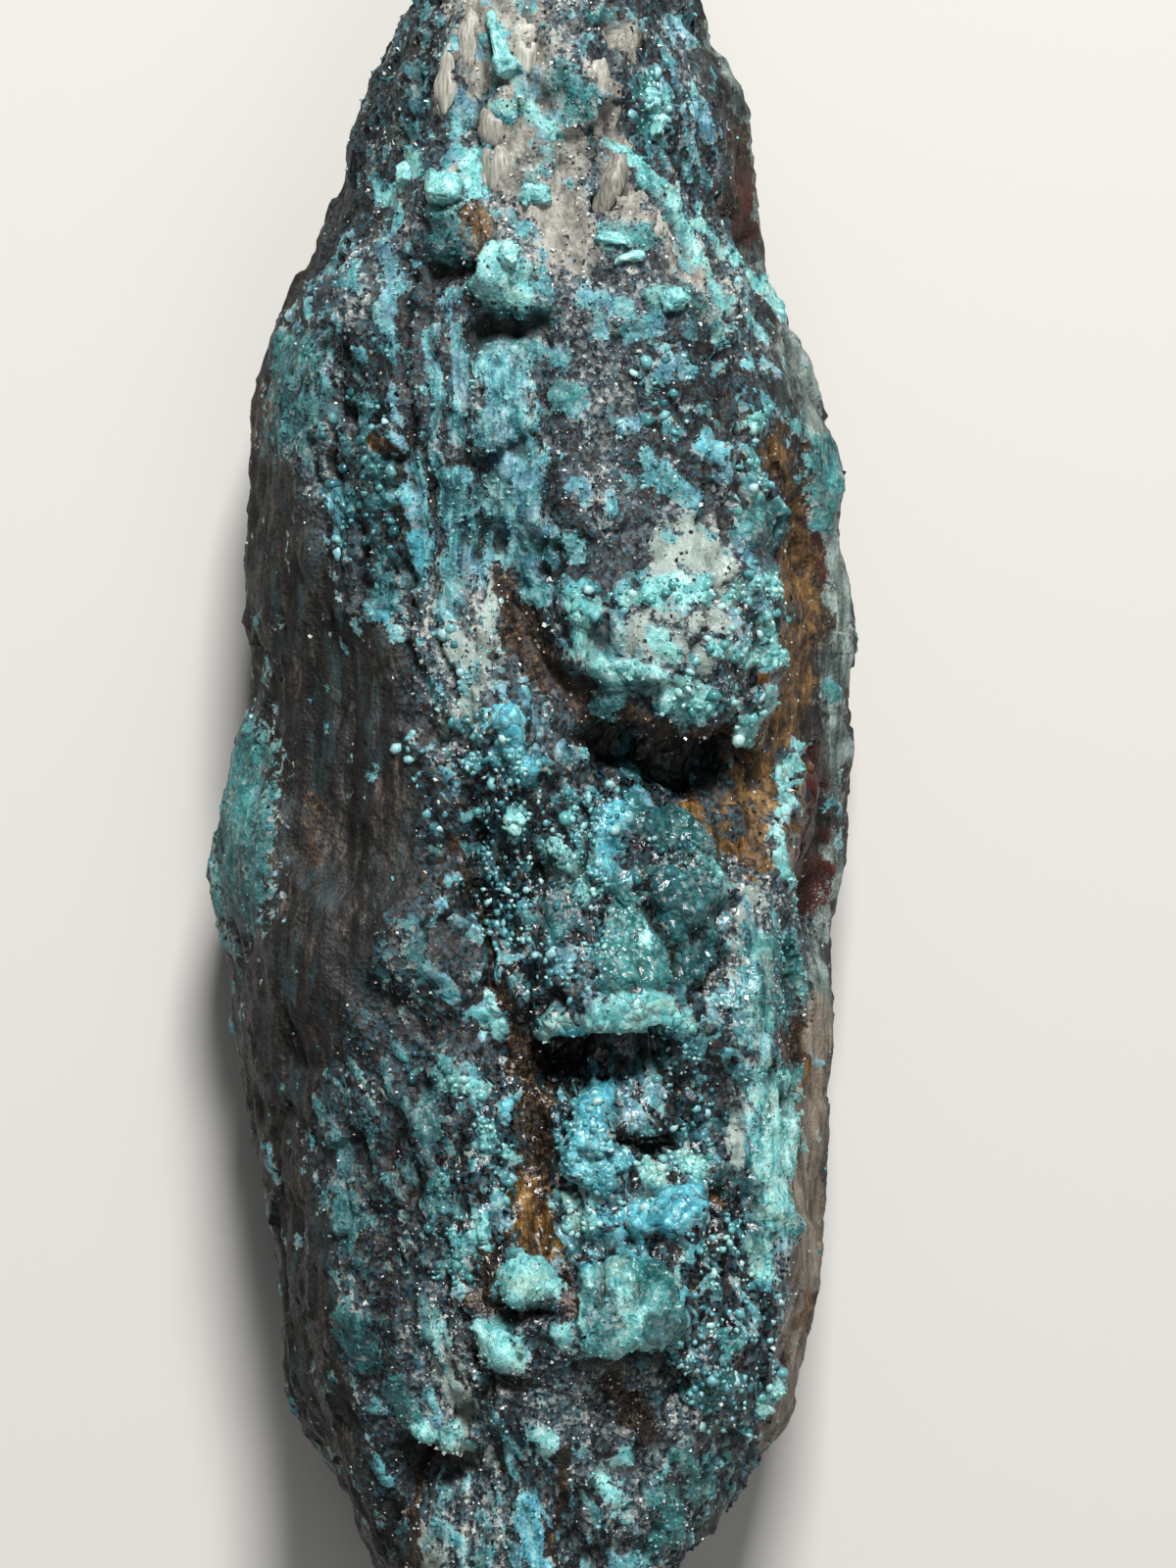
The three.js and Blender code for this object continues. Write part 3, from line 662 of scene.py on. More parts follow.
def painted(seams, salt, plates=""):
    """How far each spot lies inside the nearest of these seams or plates, from -1 outside to 1."""
    deepest = np.max([depth_into(path, width) for width, *_, path in seams], axis=0)
    for (kind, *_), depth in zip(PLATES, plate_depth):
        if kind == plates:
            deepest = np.maximum(deepest, np.clip(depth * 1.6 + 0.1, -1, 1))  # full 0.6 mm in
    ragged_edge = 0.3 * rough(spots, 0.7, salt, 3)
    return np.clip(deepest + ragged_edge, -1, 1) * on_front - (1 - on_front)


def raised(seams):
    """The knobs and crusts that these seams make, rounded over their broken edges."""
    relief = 0
    broken = 0.35 * rough(spots, 0.8, 81, 3)
    for width, rise, path in seams:
        inside = np.clip(depth_into(path, width) + broken, 0, 1)
        relief = np.maximum(relief, rise * np.sqrt(1 - (1 - inside) ** 2))
    return relief * on_front


def ledge_drop(drop, climb, edge):
    """The floor under an overhung edge: it falls away at once, climbs back, and fades at both ends."""
    across, heights = np.array(edge, float).T
    below = np.interp(where[:, 0], across, heights) - where[:, 1]
    along_edge = eased(where[:, 0], across[0] - 0.5, across[0] + 0.3)
    along_edge *= 1 - eased(where[:, 0], across[-1] - 0.3, across[-1] + 0.5)
    return drop * eased(below, -0.05, 0.40) * (1 - eased(below, 0.3, climb)) * along_edge


fibrous_turquoise = painted(FIBROUS_TURQUOISE, salt=90, plates="fibrous")
blue_spots = painted(BLUE_SPOTS, salt=89, plates="blue")
sky = painted(SKY_TURQUOISE, salt=91, plates="sky")
teal = painted(TEAL_TURQUOISE, salt=92, plates="teal")
mint = painted(MINT_CRUST, salt=93, plates="mint")
quartz = painted(PALE_QUARTZ, salt=94, plates="quartz")
rust = painted(RUST, salt=95)
crumb = painted(BROWN_CRUMB, salt=96)
maroon = painted(MAROON, salt=97)
fibrous = painted(FIBROUS, salt=98)
glassy = painted(GLASSY, salt=99)
pale_rim = painted(PALE_RIM, salt=101)
sandy_rim = painted(SANDY_RIM, salt=102)
pale_rock = painted(PALE_ROCK, salt=103)
# Deep teal, partly painted shade under the ledges and knobs.
deep_teal_and_shade = painted(DEEP_TEAL_AND_SHADE, salt=104)
# Darker rock, partly painted shade under the ledges and the shoulder.
dark = painted(DARK_ROCK_AND_SHADE, salt=105)
beady = painted(BEADY, salt=106)
flecked = eased(painted(FLECKED, salt=107), -0.2, 0.5)

pit_floor = 1 + 0.5 * rough(spots, 0.9, 111, 3)
pit_depth = [
    pit_floor * depth * eased(depth_into(path, width), 0, 0.75) for width, depth, path in PITS
]
ledge_depth = [ledge_drop(*ledge) for ledge in LEDGES]
crack_depth = [
    depth * eased(depth_into(path, width), -0.2, 0.8) for width, depth, path in CRACKS
]
sunk = np.max(pit_depth, axis=0) + np.max(ledge_depth, axis=0) + np.max(crack_depth, axis=0)
sunk *= on_front

# The flanks, outside these lines of (Y, X), are drawn-out rock, smoother than the front and darker,
# partly with painted shade as they turn from the lamp.
LEFT_FLANK = [
    (-30, -5.5), (-25, -6.4), (-20, -7.4), (-14, -8.4), (-10, -7.4), (-6, -6.0), (-4, -4.4),
    (1, -4.4), (5, -5.2), (8, -7.8), (14, -9.6), (20, -7.8), (24, -6.8), (30, -6.4),
]
RIGHT_FLANK = [
    (-30, 6.0), (-25, 8.8), (-20, 9.8), (-10, 10.2), (-5, 11.0),
    (0, 9.9), (8, 10.0), (14, 9.6), (20, 8.2), (30, 6.0),
]
left_of_front = np.interp(where[:, 1], *np.array(LEFT_FLANK).T) - where[:, 0]
right_of_front = where[:, 0] - np.interp(where[:, 1], *np.array(RIGHT_FLANK).T)
flank = np.maximum(eased(left_of_front, -0.8, 0.8), eased(right_of_front, -0.5, 0.5))
flank = np.maximum(flank, 1 - on_front)

# Away from the listed seams turquoise comes as flecks, wherever the sum below is above 0. They
# are common on the front, rare on the flanks, and never grow on rust. Round the back they follow
# thin veins.
THE_GRAIN = np.array([(0.9, -0.43, 0), (0.43, 0.9, 0), (0, 0, 1)])  # turned a little from the Y axis
fleck_wave = (1 - flecked) * rough(spots, (0.8, 1.1, 0.8), 151, 3)
fleck_wave += flecked * rough(spots @ THE_GRAIN, (0.42, 1.5, 0.6), 155, 3)
fleck_crowd = rough(spots, (5, 7, 5), 171, 2)
earthy = eased(np.maximum.reduce([rust, crumb, maroon]), -0.1, 0.3)
FLECKS_NEED = 0.30  # how high the waves must stand for a fleck on the front
FLANKS_NEED = 0.30  # how much higher on a flank
BEADY_HELPS, LIST_HELPS, DARK_AND_SHADED_HINDERS = 0.16, 0.18, 0.10
smooth_skin = eased(beady, -0.1, 0.3)
flecks = fleck_wave + 0.4 * fleck_crowd - FLECKS_NEED - FLANKS_NEED * flank + BEADY_HELPS * smooth_skin
flecks += LIST_HELPS * flecked - DARK_AND_SHADED_HINDERS * eased(dark, -0.2, 0.4)
flecks = 1.5 * (flecks - 0.9 * earthy)
back_vein = 0.9 * fleck_crowd - 0.05 - np.abs(rough(spots, (3.0, 9, 3.0), 181, 4)) * 5
flecks = np.maximum(flecks, (back_vein + fleck_wave) * (1 - on_front) - on_front)
turquoise = np.maximum.reduce([sky, teal, mint, fibrous_turquoise, blue_spots, flecks])
solid_turquoise = eased(turquoise, -0.05, 0.3)

# Turquoise swells in lumps a millimetre across with joints between them, and in half-millimetre
# grains; rock is drawn out in streaks where it is fibrous.
lumps_from = spots + 0.2 * wander[:, [0, 1, 0]]
lump_middle, lump_gap, _, lump_number = cobbles(lumps_from, (0.95, 1.15, 0.95), 201)
lump_dome = np.sqrt(np.clip(1 - (lump_middle / 0.95) ** 2, 0, 1)) * (0.5 + 0.5 * lump_number)
lump_joint = 1 - eased(lump_gap, 0.0, 0.22)
grain_middle = cobbles(spots, 0.46, 211)[0]
grain_dome = np.sqrt(np.clip(1 - (grain_middle / 0.85) ** 2, 0, 1))
sugary = (1 - flank) * (1 - solid_turquoise)
streaks = swell(spots, (0.55, 4.5, 0.55), 221) + 0.6 * swell(spots, (0.28, 2.2, 0.28), 231)
drawn_out = np.maximum(flank, 0.8 * eased(fibrous, -0.1, 0.4))
lumpy = (0.3 + 0.7 * solid_turquoise) * (1 - 0.85 * drawn_out)

# How far the stone stands out or falls back at each spot, in mm.
SEAM_SHARE = 0.34  # of the rise in the lists: chips and lumps on the seams make up the rest
PLATE_SHARE = 0.6  # the same, for plates
FLECK_RISE = 0.10
BIG_CHIPS, SMALL_CHIPS = 0.42, 0.17
LUMP_RISE, GRAIN_RISE, STREAK_RISE = 0.065, 0.06, 0.14
COARSE_GRIT, FINE_GRIT = 0.13, 0.08
relief = SEAM_SHARE * raised(FIBROUS_TURQUOISE + BLUE_SPOTS + SKY_TURQUOISE + TEAL_TURQUOISE)
relief = np.maximum(relief, SEAM_SHARE * raised(MINT_CRUST + PALE_QUARTZ))
relief += FLECK_RISE * eased(flecks, 0, 0.5)
for (_, rise, slope, corners), depth in zip(PLATES, plate_depth):
    from_middle = seen - np.mean(corners, axis=0)
    relief += PLATE_SHARE * (rise + from_middle @ slope) * eased(depth, -0.08, 0.20) * on_front
relief += BIG_CHIPS * chips(spots, (2.8, 4.2, 2.8), 241) * (1 - 0.6 * flank)
relief += SMALL_CHIPS * chips(spots, (1.0, 1.6, 1.0), 251) * (1 - 0.5 * flank)
relief += LUMP_RISE * (lump_dome - 0.7 * lump_joint) * lumpy
relief += GRAIN_RISE * grain_dome * (1 - 0.8 * drawn_out)
relief += STREAK_RISE * streaks * drawn_out
relief += COARSE_GRIT * rough(spots, (0.9, 1.8, 0.9), 261, 3)
relief += FINE_GRIT * rough(spots, 0.42, 271, 2) * (1 - 0.6 * flank)
relief -= sunk
off_the_floor = eased(spots[:, 2], 0.05, 1.6)  # the broken face that the stone rests on stays flat
relief *= off_the_floor

# A crevice is wherever the stone lies lower than the ground round it, or deep in a pit or a crack.
# The rock's material paints every crevice dark: painted shade, with a little brown dirt.
relief_grid = relief.reshape(ROWS, COLUMNS)
crevice = eased((blurred(relief_grid, 4.0) - relief_grid).ravel(), 0.02, 0.34)
crevice = np.maximum(crevice, eased(sunk, 0.25, 0.9))

shape = spots + face_out * relief[:, None]
shape[:, 2] = np.maximum(shape[:, 2], 0.0)


def mesh_object(name, points, faces):
    """A smoothly shaded mesh object from points in millimetres and a list of faces."""
    mesh = bpy.data.meshes.new(name)
    mesh.from_pydata((np.asarray(points) * MM).tolist(), [], [list(map(int, face)) for face in faces])
    mesh.validate()
    mesh.shade_smooth()
    made = bpy.data.objects.new(name, mesh)
    bpy.context.scene.collection.objects.link(made)
    return made


def mark(made, name, values):
    """One number at each point of a mesh, for its material to read."""
    marks = made.data.attributes.new(name, "FLOAT", "POINT").data
    marks.foreach_set("value", np.asarray(values, np.float32))


# The skin is closed at each end by a fan of triangles round one more point.
rows, columns = np.meshgrid(np.arange(ROWS - 1), np.arange(COLUMNS), indexing="ij")
beside = (columns + 1) % COLUMNS
quads = np.stack([
    rows * COLUMNS + columns, rows * COLUMNS + beside,
    (rows + 1) * COLUMNS + beside, (rows + 1) * COLUMNS + columns,
], -1).reshape(-1, 4)
low_tip, high_tip = ROWS * COLUMNS, ROWS * COLUMNS + 1
tips = [shape[:COLUMNS].mean(0), shape[-COLUMNS:].mean(0)]
ring = np.arange(COLUMNS)
next_on_ring = (ring + 1) % COLUMNS
last_row = (ROWS - 1) * COLUMNS
caps = [(low_tip, b, a) for a, b in zip(ring, next_on_ring)]
caps += [(high_tip, last_row + a, last_row + b) for a, b in zip(ring, next_on_ring)]
nugget = mesh_object("turquoise_nugget", np.vstack([shape, tips]), quads.tolist() + caps)

marked = {
    "turquoise": turquoise, "sky": sky, "teal": teal, "mint": mint, "quartz": quartz, "rust": rust,
    "crumb": crumb, "maroon": maroon, "flank": flank, "crevice": crevice, "fibrous": fibrous,
    "glassy": glassy, "pale_rim": pale_rim, "sandy_rim": sandy_rim, "pale_rock": pale_rock,
    "deep_teal_and_shade": deep_teal_and_shade, "dark": dark, "beady": beady,
}
for name, values in marked.items():
    at_the_tips = [values[:COLUMNS].mean(), values[-COLUMNS:].mean()]
    mark(nugget, name, np.concatenate([values, at_the_tips]))


def hue(code):
    """An sRGB hex colour, turned to linear."""
    parts = [int(code[k : k + 2], 16) / 255 for k in (1, 3, 5)]
    return (*[c / 12.92 if c <= 0.04045 else ((c + 0.055) / 1.055) ** 2.4 for c in parts], 1.0)


def add(tree, kind, inputs, out=0, stops=(), **settings):
    """Adds a node with its settings, links and colour stops, and gives the socket it puts out."""
    node = tree.nodes.new("ShaderNode" + kind)
    for name, value in settings.items():
        setattr(node, name, value)
    for name, value in inputs.items():
        if isinstance(value, bpy.types.NodeSocket):
            tree.links.new(value, node.inputs[name])
        else:
            node.inputs[name].default_value = value
    if stops:
        run = node.color_ramp.elements
        run[0].position, run[0].color = stops[0][0], hue(stops[0][1])
        run[1].position, run[1].color = stops[-1][0], hue(stops[-1][1])
        for position, code in stops[1:-1]:
            run.new(position).color = hue(code)
    return node.outputs[out] if node.outputs else node


def bare_material(name):
    """A material with no nodes but the place on the stone, in metres, which its patterns read."""
    made = bpy.data.materials.new(name)
    made.use_nodes = True
    made.node_tree.nodes.clear()
    return made, made.node_tree, add(made.node_tree, "TexCoord", {}, "Object")


# Turquoise in its host rock, as broken and weathered. The rock is a dark sugar of fine quartz that
# glitters; the turquoise is waxy and finely pored, paler where it has dried to a crust; rust is
# earthy and dull.
rock, tree, place = bare_material("turquoise_in_host_rock")
along = add(tree, "SeparateXYZ", {"Vector": place}, "Y")
stored = {name: add(tree, "Attribute", {}, "Fac", attribute_name=name) for name in marked}

# Cloudy patterns: (the size of a cloud along X, Y and Z in mm, layers of detail, harshness).
cloud = {}
for name, (size, layers, harshness) in {
    "even fray": ((0.42, 0.42, 0.42), 5.0, 0.72),
    "drawn-out fray": ((0.30, 1.50, 0.30), 5.0, 0.72),
    "speckle": ((0.15, 0.15, 0.15), 3.0, 0.75),
    "patches": ((1.7, 1.7, 1.7), 4.0, 0.60),
    "sugar": ((0.6, 0.6, 0.6), 6.0, 0.78),
    "streaks": ((0.5, 4.0, 0.5), 6.0, 0.70),
    "flank stain": ((0.7, 3.0, 0.7), 4.0, 0.60),
    "quartz": ((0.5, 1.2, 0.5), 5.0, 0.70),
    "crumb": ((0.3, 0.3, 0.3), 5.0, 0.78),
    "rust": ((0.4, 1.0, 0.4), 5.0, 0.75),
    "blueness": ((1.3, 1.3, 1.3), 3.0, 0.60),
    "dry crust": ((1.1, 1.1, 1.1), 3.0, 0.60),
    "dust": ((0.9, 1.6, 0.9), 4.0, 0.65),
}.items():
    counted = add(tree, "Mapping", {"Vector": place, "Scale": [1 / (MM * side) for side in size]})
    cloud[name] = add(
        tree, "TexNoise", {"Vector": counted, "Scale": 1.0, "Detail": layers, "Roughness": harshness}
    )

# Sugar grains a sixth of a millimetre across, and rounded cells half a millimetre across that are
# bent out of true. Each grain and each cell has three numbers of its own.
in_grains, in_bends, in_cells = [
    add(tree, "Mapping", {"Vector": place, "Scale": [1 / (MM * side)] * 3}) for side in (0.16, 0.5, 0.48)
]
sugar = add(tree, "TexVoronoi", {"Vector": in_grains, "Scale": 1.0}, feature="F1").node.outputs
sugar_number = add(tree, "SeparateColor", {"Color": sugar["Color"]}).node.outputs
bend = add(tree, "TexNoise", {"Vector": in_bends, "Scale": 1.0, "Detail": 2.0}, "Color")
bent = add(tree, "VectorMath", {0: bend, 1: (0.9, 0.9, 0.9), 2: in_cells}, operation="MULTIPLY_ADD")
cell = add(tree, "TexVoronoi", {"Vector": bent, "Scale": 1.0}, feature="F1").node.outputs
cell_edge = add(tree, "TexVoronoi", {"Vector": bent, "Scale": 1.0}, feature="DISTANCE_TO_EDGE")
cell_number = add(tree, "SeparateColor", {"Color": cell["Color"]}).node.outputs

# Shares that rise or fall smoothly: (what they follow, from and to where, first value, last value).
share = {"flank": stored["flank"]}
for name, (follows, start, end, first, last) in {
    "fibrous": (stored["fibrous"], -0.1, 0.4, 0.0, 1.0),
    "beady": (stored["beady"], -0.1, 0.3, 0.0, 1.0),
    "glassy": (stored["glassy"], -0.2, 0.3, 0.0, 1.0),
    "dry gloss": (cloud["speckle"], 0.35, 0.70, 0.5, 0.8),
    "wet gloss": (cloud["speckle"], 0.35, 0.70, 0.12, 0.38),
    "pale rock": (stored["pale_rock"], -0.2, 0.4, -0.04, 0.07),
    # Darker rock, partly painted shade.
    "dark rock": (stored["dark"], -0.2, 0.4, 0.0, 1.0),
    "streaks": (cloud["streaks"], 0.35, 0.65, -0.5, 0.5),
    "blue grains": (sugar_number[1], 0.62, 0.74, 0.0, 0.5),
    "brown grains": (sugar_number[2], 0.80, 0.88, 0.0, 0.22),
    "white grains": (sugar_number[2], 0.90, 0.94, 0.0, 0.25),
    "dark grains": (sugar_number[1], 0.86, 0.92, 0.0, 0.4),
    "flank stain": (cloud["flank stain"], 0.50, 0.66, 0.0, 0.45),
    "greenish quartz": (along, 12 * MM, 18 * MM, 0.55, 0.0),
    "blue": (cloud["blueness"], 0.48, 0.60, 0.0, 1.0),
    "sky": (stored["sky"], -0.1, 0.3, 0.0, 1.0),
    "teal": (stored["teal"], -0.2, 0.3, 0.0, 1.0),
    "mint": (stored["mint"], -0.1, 0.3, 0.0, 1.0),
    # Deep teal, partly painted shade.
    "deep_teal_and_shade": (stored["deep_teal_and_shade"], -0.3, 0.3, 0.0, 0.85),
    "dry crust": (cloud["dry crust"], 0.50, 0.64, 0.0, 0.45),
    "joint patches": (cloud["patches"], 0.40, 0.60, 0.2, 0.75),
    "dust": (cloud["dust"], 0.38, 0.56, 0.45, 0.0),
    "dust on sky": (stored["sky"], -0.1, 0.3, 1.0, 0.15),
    "dust on mint": (stored["mint"], -0.1, 0.3, 1.0, 0.4),
    "rim grains": (sugar_number[0], 0.52, 0.62, 0.0, 1.0),
    "rim patches": (cloud["patches"], 0.44, 0.60, 0.0, 0.75),
}.items():
    share[name] = add(
        tree, "MapRange",
        {"Value": follows, "From Min": start, "From Max": end, "To Min": first, "To Max": last},
        interpolation_type="SMOOTHSTEP",
    )

# Sockets of a Mix node go by number: 0 is the share, 2 and 3 are numbers, 6 and 7 are colours.
frayed = add(
    tree, "Mix", {0: share["fibrous"], 2: cloud["even fray"], 3: cloud["drawn-out fray"]},
    data_type="FLOAT",
)
streak_shade = add(tree, "Math", {0: share["streaks"], 1: share["fibrous"]}, operation="MULTIPLY")

# Tones are sums: (what they start from, each part and its weight).
tone = {}
for name, (total, parts) in {
    "fray": (0.0, [(frayed, 2.4), (cloud["speckle"], 1.2)]),
    "cell by cell": (0.75, [(cell_number[0], 1.1), (frayed, 1.0)]),
    "dark rock": (0.0, [
        (cloud["sugar"], 0.75), (cloud["patches"], 0.25), (share["pale rock"], 1.0),
        (share["dark rock"], -0.12), (streak_shade, 0.24), (sugar_number[0], 0.26),
    ]),
    # Flank tone, coloured partly as painted shade.
    "shaded flank rock": (0.0, [(cloud["streaks"], 1.0), (sugar_number[0], 0.10)]),
    "pale rim": (0.0, [(cloud["streaks"], 0.6), (cloud["patches"], 0.4)]),
    "turquoise": (0.0, [
        (frayed, 0.45), (cloud["patches"], 0.25), (cloud["speckle"], 0.22),
        (cell_number[1], 0.10), (streak_shade, 0.22),
    ]),
    "grainy": (0.0, [(frayed, 0.8), (sugar["Distance"], 0.35)]),
    "domed": (0.0, [(frayed, 0.35), (cell["Distance"], -1.5)]),
}.items():
    for part, weight in parts:
        total = add(tree, "Math", {0: part, 1: weight, 2: total}, operation="MULTIPLY_ADD")
    tone[name] = total

# What breaks the edge of every seam, around 1.8: cell by cell where it is beady, else in a fray.
ragged = add(
    tree, "Mix", {0: share["beady"], 2: tone["fray"], 3: tone["cell by cell"]}, data_type="FLOAT"
)

# How much of a seam shows at a spot, dissolving into specks towards its edge: (its stored depth,
# where it starts and where it is full once ragged is added, the most that it covers).
for name, (follows, start, full, most) in {
    "pale rim": ("pale_rim", 1.50, 2.10, 0.85),
    "sandy rim": ("sandy_rim", 1.50, 2.10, 0.8),
    "quartz": ("quartz", 1.85, 2.10, 0.9),
    "crumb": ("crumb", 1.85, 2.10, 1.0),
    "maroon": ("maroon", 1.85, 2.10, 1.0),
    "rust": ("rust", 1.85, 2.10, 1.0),
    "turquoise": ("turquoise", 1.78, 2.02, 1.0),
    "round turquoise": ("turquoise", 1.62, 1.80, 1.0),
}.items():
    depth = add(tree, "Math", {0: stored[follows], 1: ragged}, operation="ADD")
    share[name] = add(
        tree, "MapRange", {"Value": depth, "From Min": start, "From Max": full, "To Max": most},
        interpolation_type="SMOOTHSTEP",
    )

# Dark joints between the cells, wider where the fray is high.
joint_width = add(
    tree, "MapRange",
    {"Value": frayed, "From Min": 0.35, "From Max": 0.65, "To Min": 0.04, "To Max": 0.13},
    interpolation_type="SMOOTHSTEP",
)
joint = add(tree, "MapRange", {"Value": cell_edge, "From Min": joint_width, "From Max": 0.0})

# Where several shares must agree they are multiplied. White quartz sugar rims the turquoise and
# dusts it in places, and every crevice is darkened with painted shade and a little dirt.
for name, (product, *factors) in {
    "joint": (joint, share["beady"], share["joint patches"]),
    "dust": (share["dust"], share["dust on sky"], share["dust on mint"]),
    "sugary rim": (share["round turquoise"], share["rim grains"], share["rim patches"]),
    # Painted shade, with a little brown dirt, in every crevice.
    "crevice_shade_and_dirt": (stored["crevice"], 0.82),
}.items():
    for factor in factors:
        product = add(tree, "Math", {0: product, 1: factor}, operation="MULTIPLY")
    share[name] = product
clear_of_dust = add(tree, "Math", {0: 1.0, 1: share["dust"]}, operation="SUBTRACT")
share["turquoise"] = add(
    tree, "Math", {0: share["turquoise"], 1: clear_of_dust}, operation="MULTIPLY"
)

# Colours, from the darkest grain to the lightest. The rock runs from black through violet grey to
# tan and white; the flanks are brown-grey, darkened with painted shade; crumbs are brown with tan
# bits; rust runs from umber to ochre; turquoise runs from teal to sky blue, pale and greenish where
# it is a dry crust, and deep teal partly as painted shade; crevices are painted shade with dirt.
shown = {}
for name, (follows, *stops) in {
    "dark rock": (
        tone["dark rock"],
        (0.50, "#05080A"), (0.59, "#151C21"), (0.67, "#334048"), (0.77, "#6F7A7C"), (0.88, "#C6C2B6"),
    ),
    "shaded flank rock": (
        # Brown-grey flank rock, made darker as painted shade where the flanks turn from the lamp.
        tone["shaded flank rock"], (0.43, "#040403"), (0.54, "#110F0D"), (0.63, "#292520"), (0.75, "#5A5248"),
    ),
    "pale rim": (tone["pale rim"], (0.40, "#34403E"), (0.50, "#71817B"), (0.60, "#A9BAB3")),
    "sandy rim": (cloud["streaks"], (0.36, "#4A423A"), (0.50, "#7D7264"), (0.66, "#A89B87")),
    "quartz": (
        cloud["quartz"], (0.34, "#5E5A52"), (0.46, "#8D897F"), (0.58, "#B3B0A4"), (0.74, "#D8D4C6"),
    ),
    "crumb": (
        cloud["crumb"], (0.38, "#080604"), (0.48, "#21170F"), (0.58, "#4A3825"), (0.72, "#93805F"),
    ),
    "maroon": (cloud["patches"], (0.35, "#1D0C09"), (0.65, "#4D241B")),
    "rust": (
        cloud["rust"], (0.36, "#1A120A"), (0.46, "#443018"), (0.56, "#735428"), (0.70, "#A58250"),
    ),
    "green": (
        tone["turquoise"],
        (0.36, "#1C4E54"), (0.45, "#3A7F86"), (0.53, "#5CA6AC"), (0.61, "#8BC8CA"), (0.74, "#C8E6E2"),
    ),
    "blue": (
        tone["turquoise"],
        (0.36, "#204858"), (0.45, "#42778B"), (0.53, "#689FB0"), (0.61, "#98C2CC"), (0.74, "#CFE4E6"),
    ),
    "sky": (
        tone["turquoise"],
        (0.36, "#277082"), (0.45, "#469FB2"), (0.53, "#66C2D0"), (0.61, "#92D9E0"), (0.74, "#CDF1F2"),
    ),
    "teal": (
        tone["turquoise"], (0.38, "#123C40"), (0.47, "#28696A"), (0.56, "#47908F"), (0.68, "#7DBBB4"),
    ),
    "mint": (
        tone["turquoise"], (0.36, "#368689"), (0.45, "#5FB3B5"), (0.54, "#8CD3D0"), (0.66, "#CDF1EA"),
    ),
    # Deep teal, partly painted shade under the ledges and knobs.
    "deep_teal_and_shade": (
        tone["turquoise"], (0.38, "#0D2D32"), (0.48, "#1D4C50"), (0.58, "#367377"), (0.72, "#6BA5A2"),
    ),
    # Crevice colour: black painted shade running to dark brown dirt.
    "crevice_shade_and_dirt": (cloud["patches"], (0.42, "#050505"), (0.62, "#21160E")),
}.items():
    shown[name] = add(tree, "ValToRGB", {"Fac": follows}, stops=stops)

# Each colour is laid over the ones before it: (the lowest, then each share with its colour).
for name, (lowest, *layers) in {
    "dark rock": ("dark rock", ("blue grains", "#2C5C68"), ("brown grains", "#6A5A45")),
    "shaded flank rock": ("shaded flank rock", ("flank stain", "#2F4A4E")),
    "quartz": ("quartz", ("greenish quartz", "#A6C2BA")),
    "mint": ("mint", ("dry crust", "#9CB59A")),
    "turquoise": (
        "green", ("blue", "blue"), ("sky", "sky"), ("teal", "teal"), ("mint", "mint"),
        ("deep_teal_and_shade", "deep_teal_and_shade"), ("white grains", "#D3D6C8"), ("dark grains", "#1F4146"),
        ("joint", "#10211F"),
    ),
    "stone": (
        "dark rock", ("flank", "shaded flank rock"), ("pale rim", "pale rim"), ("sandy rim", "sandy rim"),
        ("quartz", "quartz"), ("crumb", "crumb"), ("maroon", "maroon"), ("rust", "rust"),
        ("sugary rim", "#B9BDB2"), ("turquoise", "turquoise"), ("crevice_shade_and_dirt", "crevice_shade_and_dirt"),
    ),
}.items():
    below = shown[lowest]
    for covering, over in layers:
        colour = hue(over) if over.startswith("#") else shown[over]
        below = add(tree, "Mix", {0: share[covering], 6: below, 7: colour}, 2, data_type="RGBA")
    shown[name] = below

gloss = add(
    tree, "Mix", {0: share["glassy"], 2: share["dry gloss"], 3: share["wet gloss"]}, data_type="FLOAT"
)
height = add(tree, "Mix", {0: share["beady"], 2: tone["grainy"], 3: tone["domed"]}, data_type="FLOAT")
bump = add(tree, "Bump", {"Height": height, "Strength": 0.6, "Distance": 0.16 * MM})
surface = add(tree, "BsdfPrincipled", {
    "Base Color": shown["stone"], "Roughness": gloss, "Normal": bump, "IOR": 1.52,
    "Specular IOR Level": 0.45,
})
add(tree, "OutputMaterial", {"Surface": surface})
nugget.data.materials.append(rock)

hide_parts("nugget")
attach(nugget, "root")

# ---- Turquoise beads ---------------------------------------------------------------------------
# Where turquoise grew freely in a hollow or over an edge it stands in small round beads, grown
# fast to the rock and to each other. They are waxy, from teal through sky blue to nearly white.
BEAD_TRIES = 3800  # of these about half find room
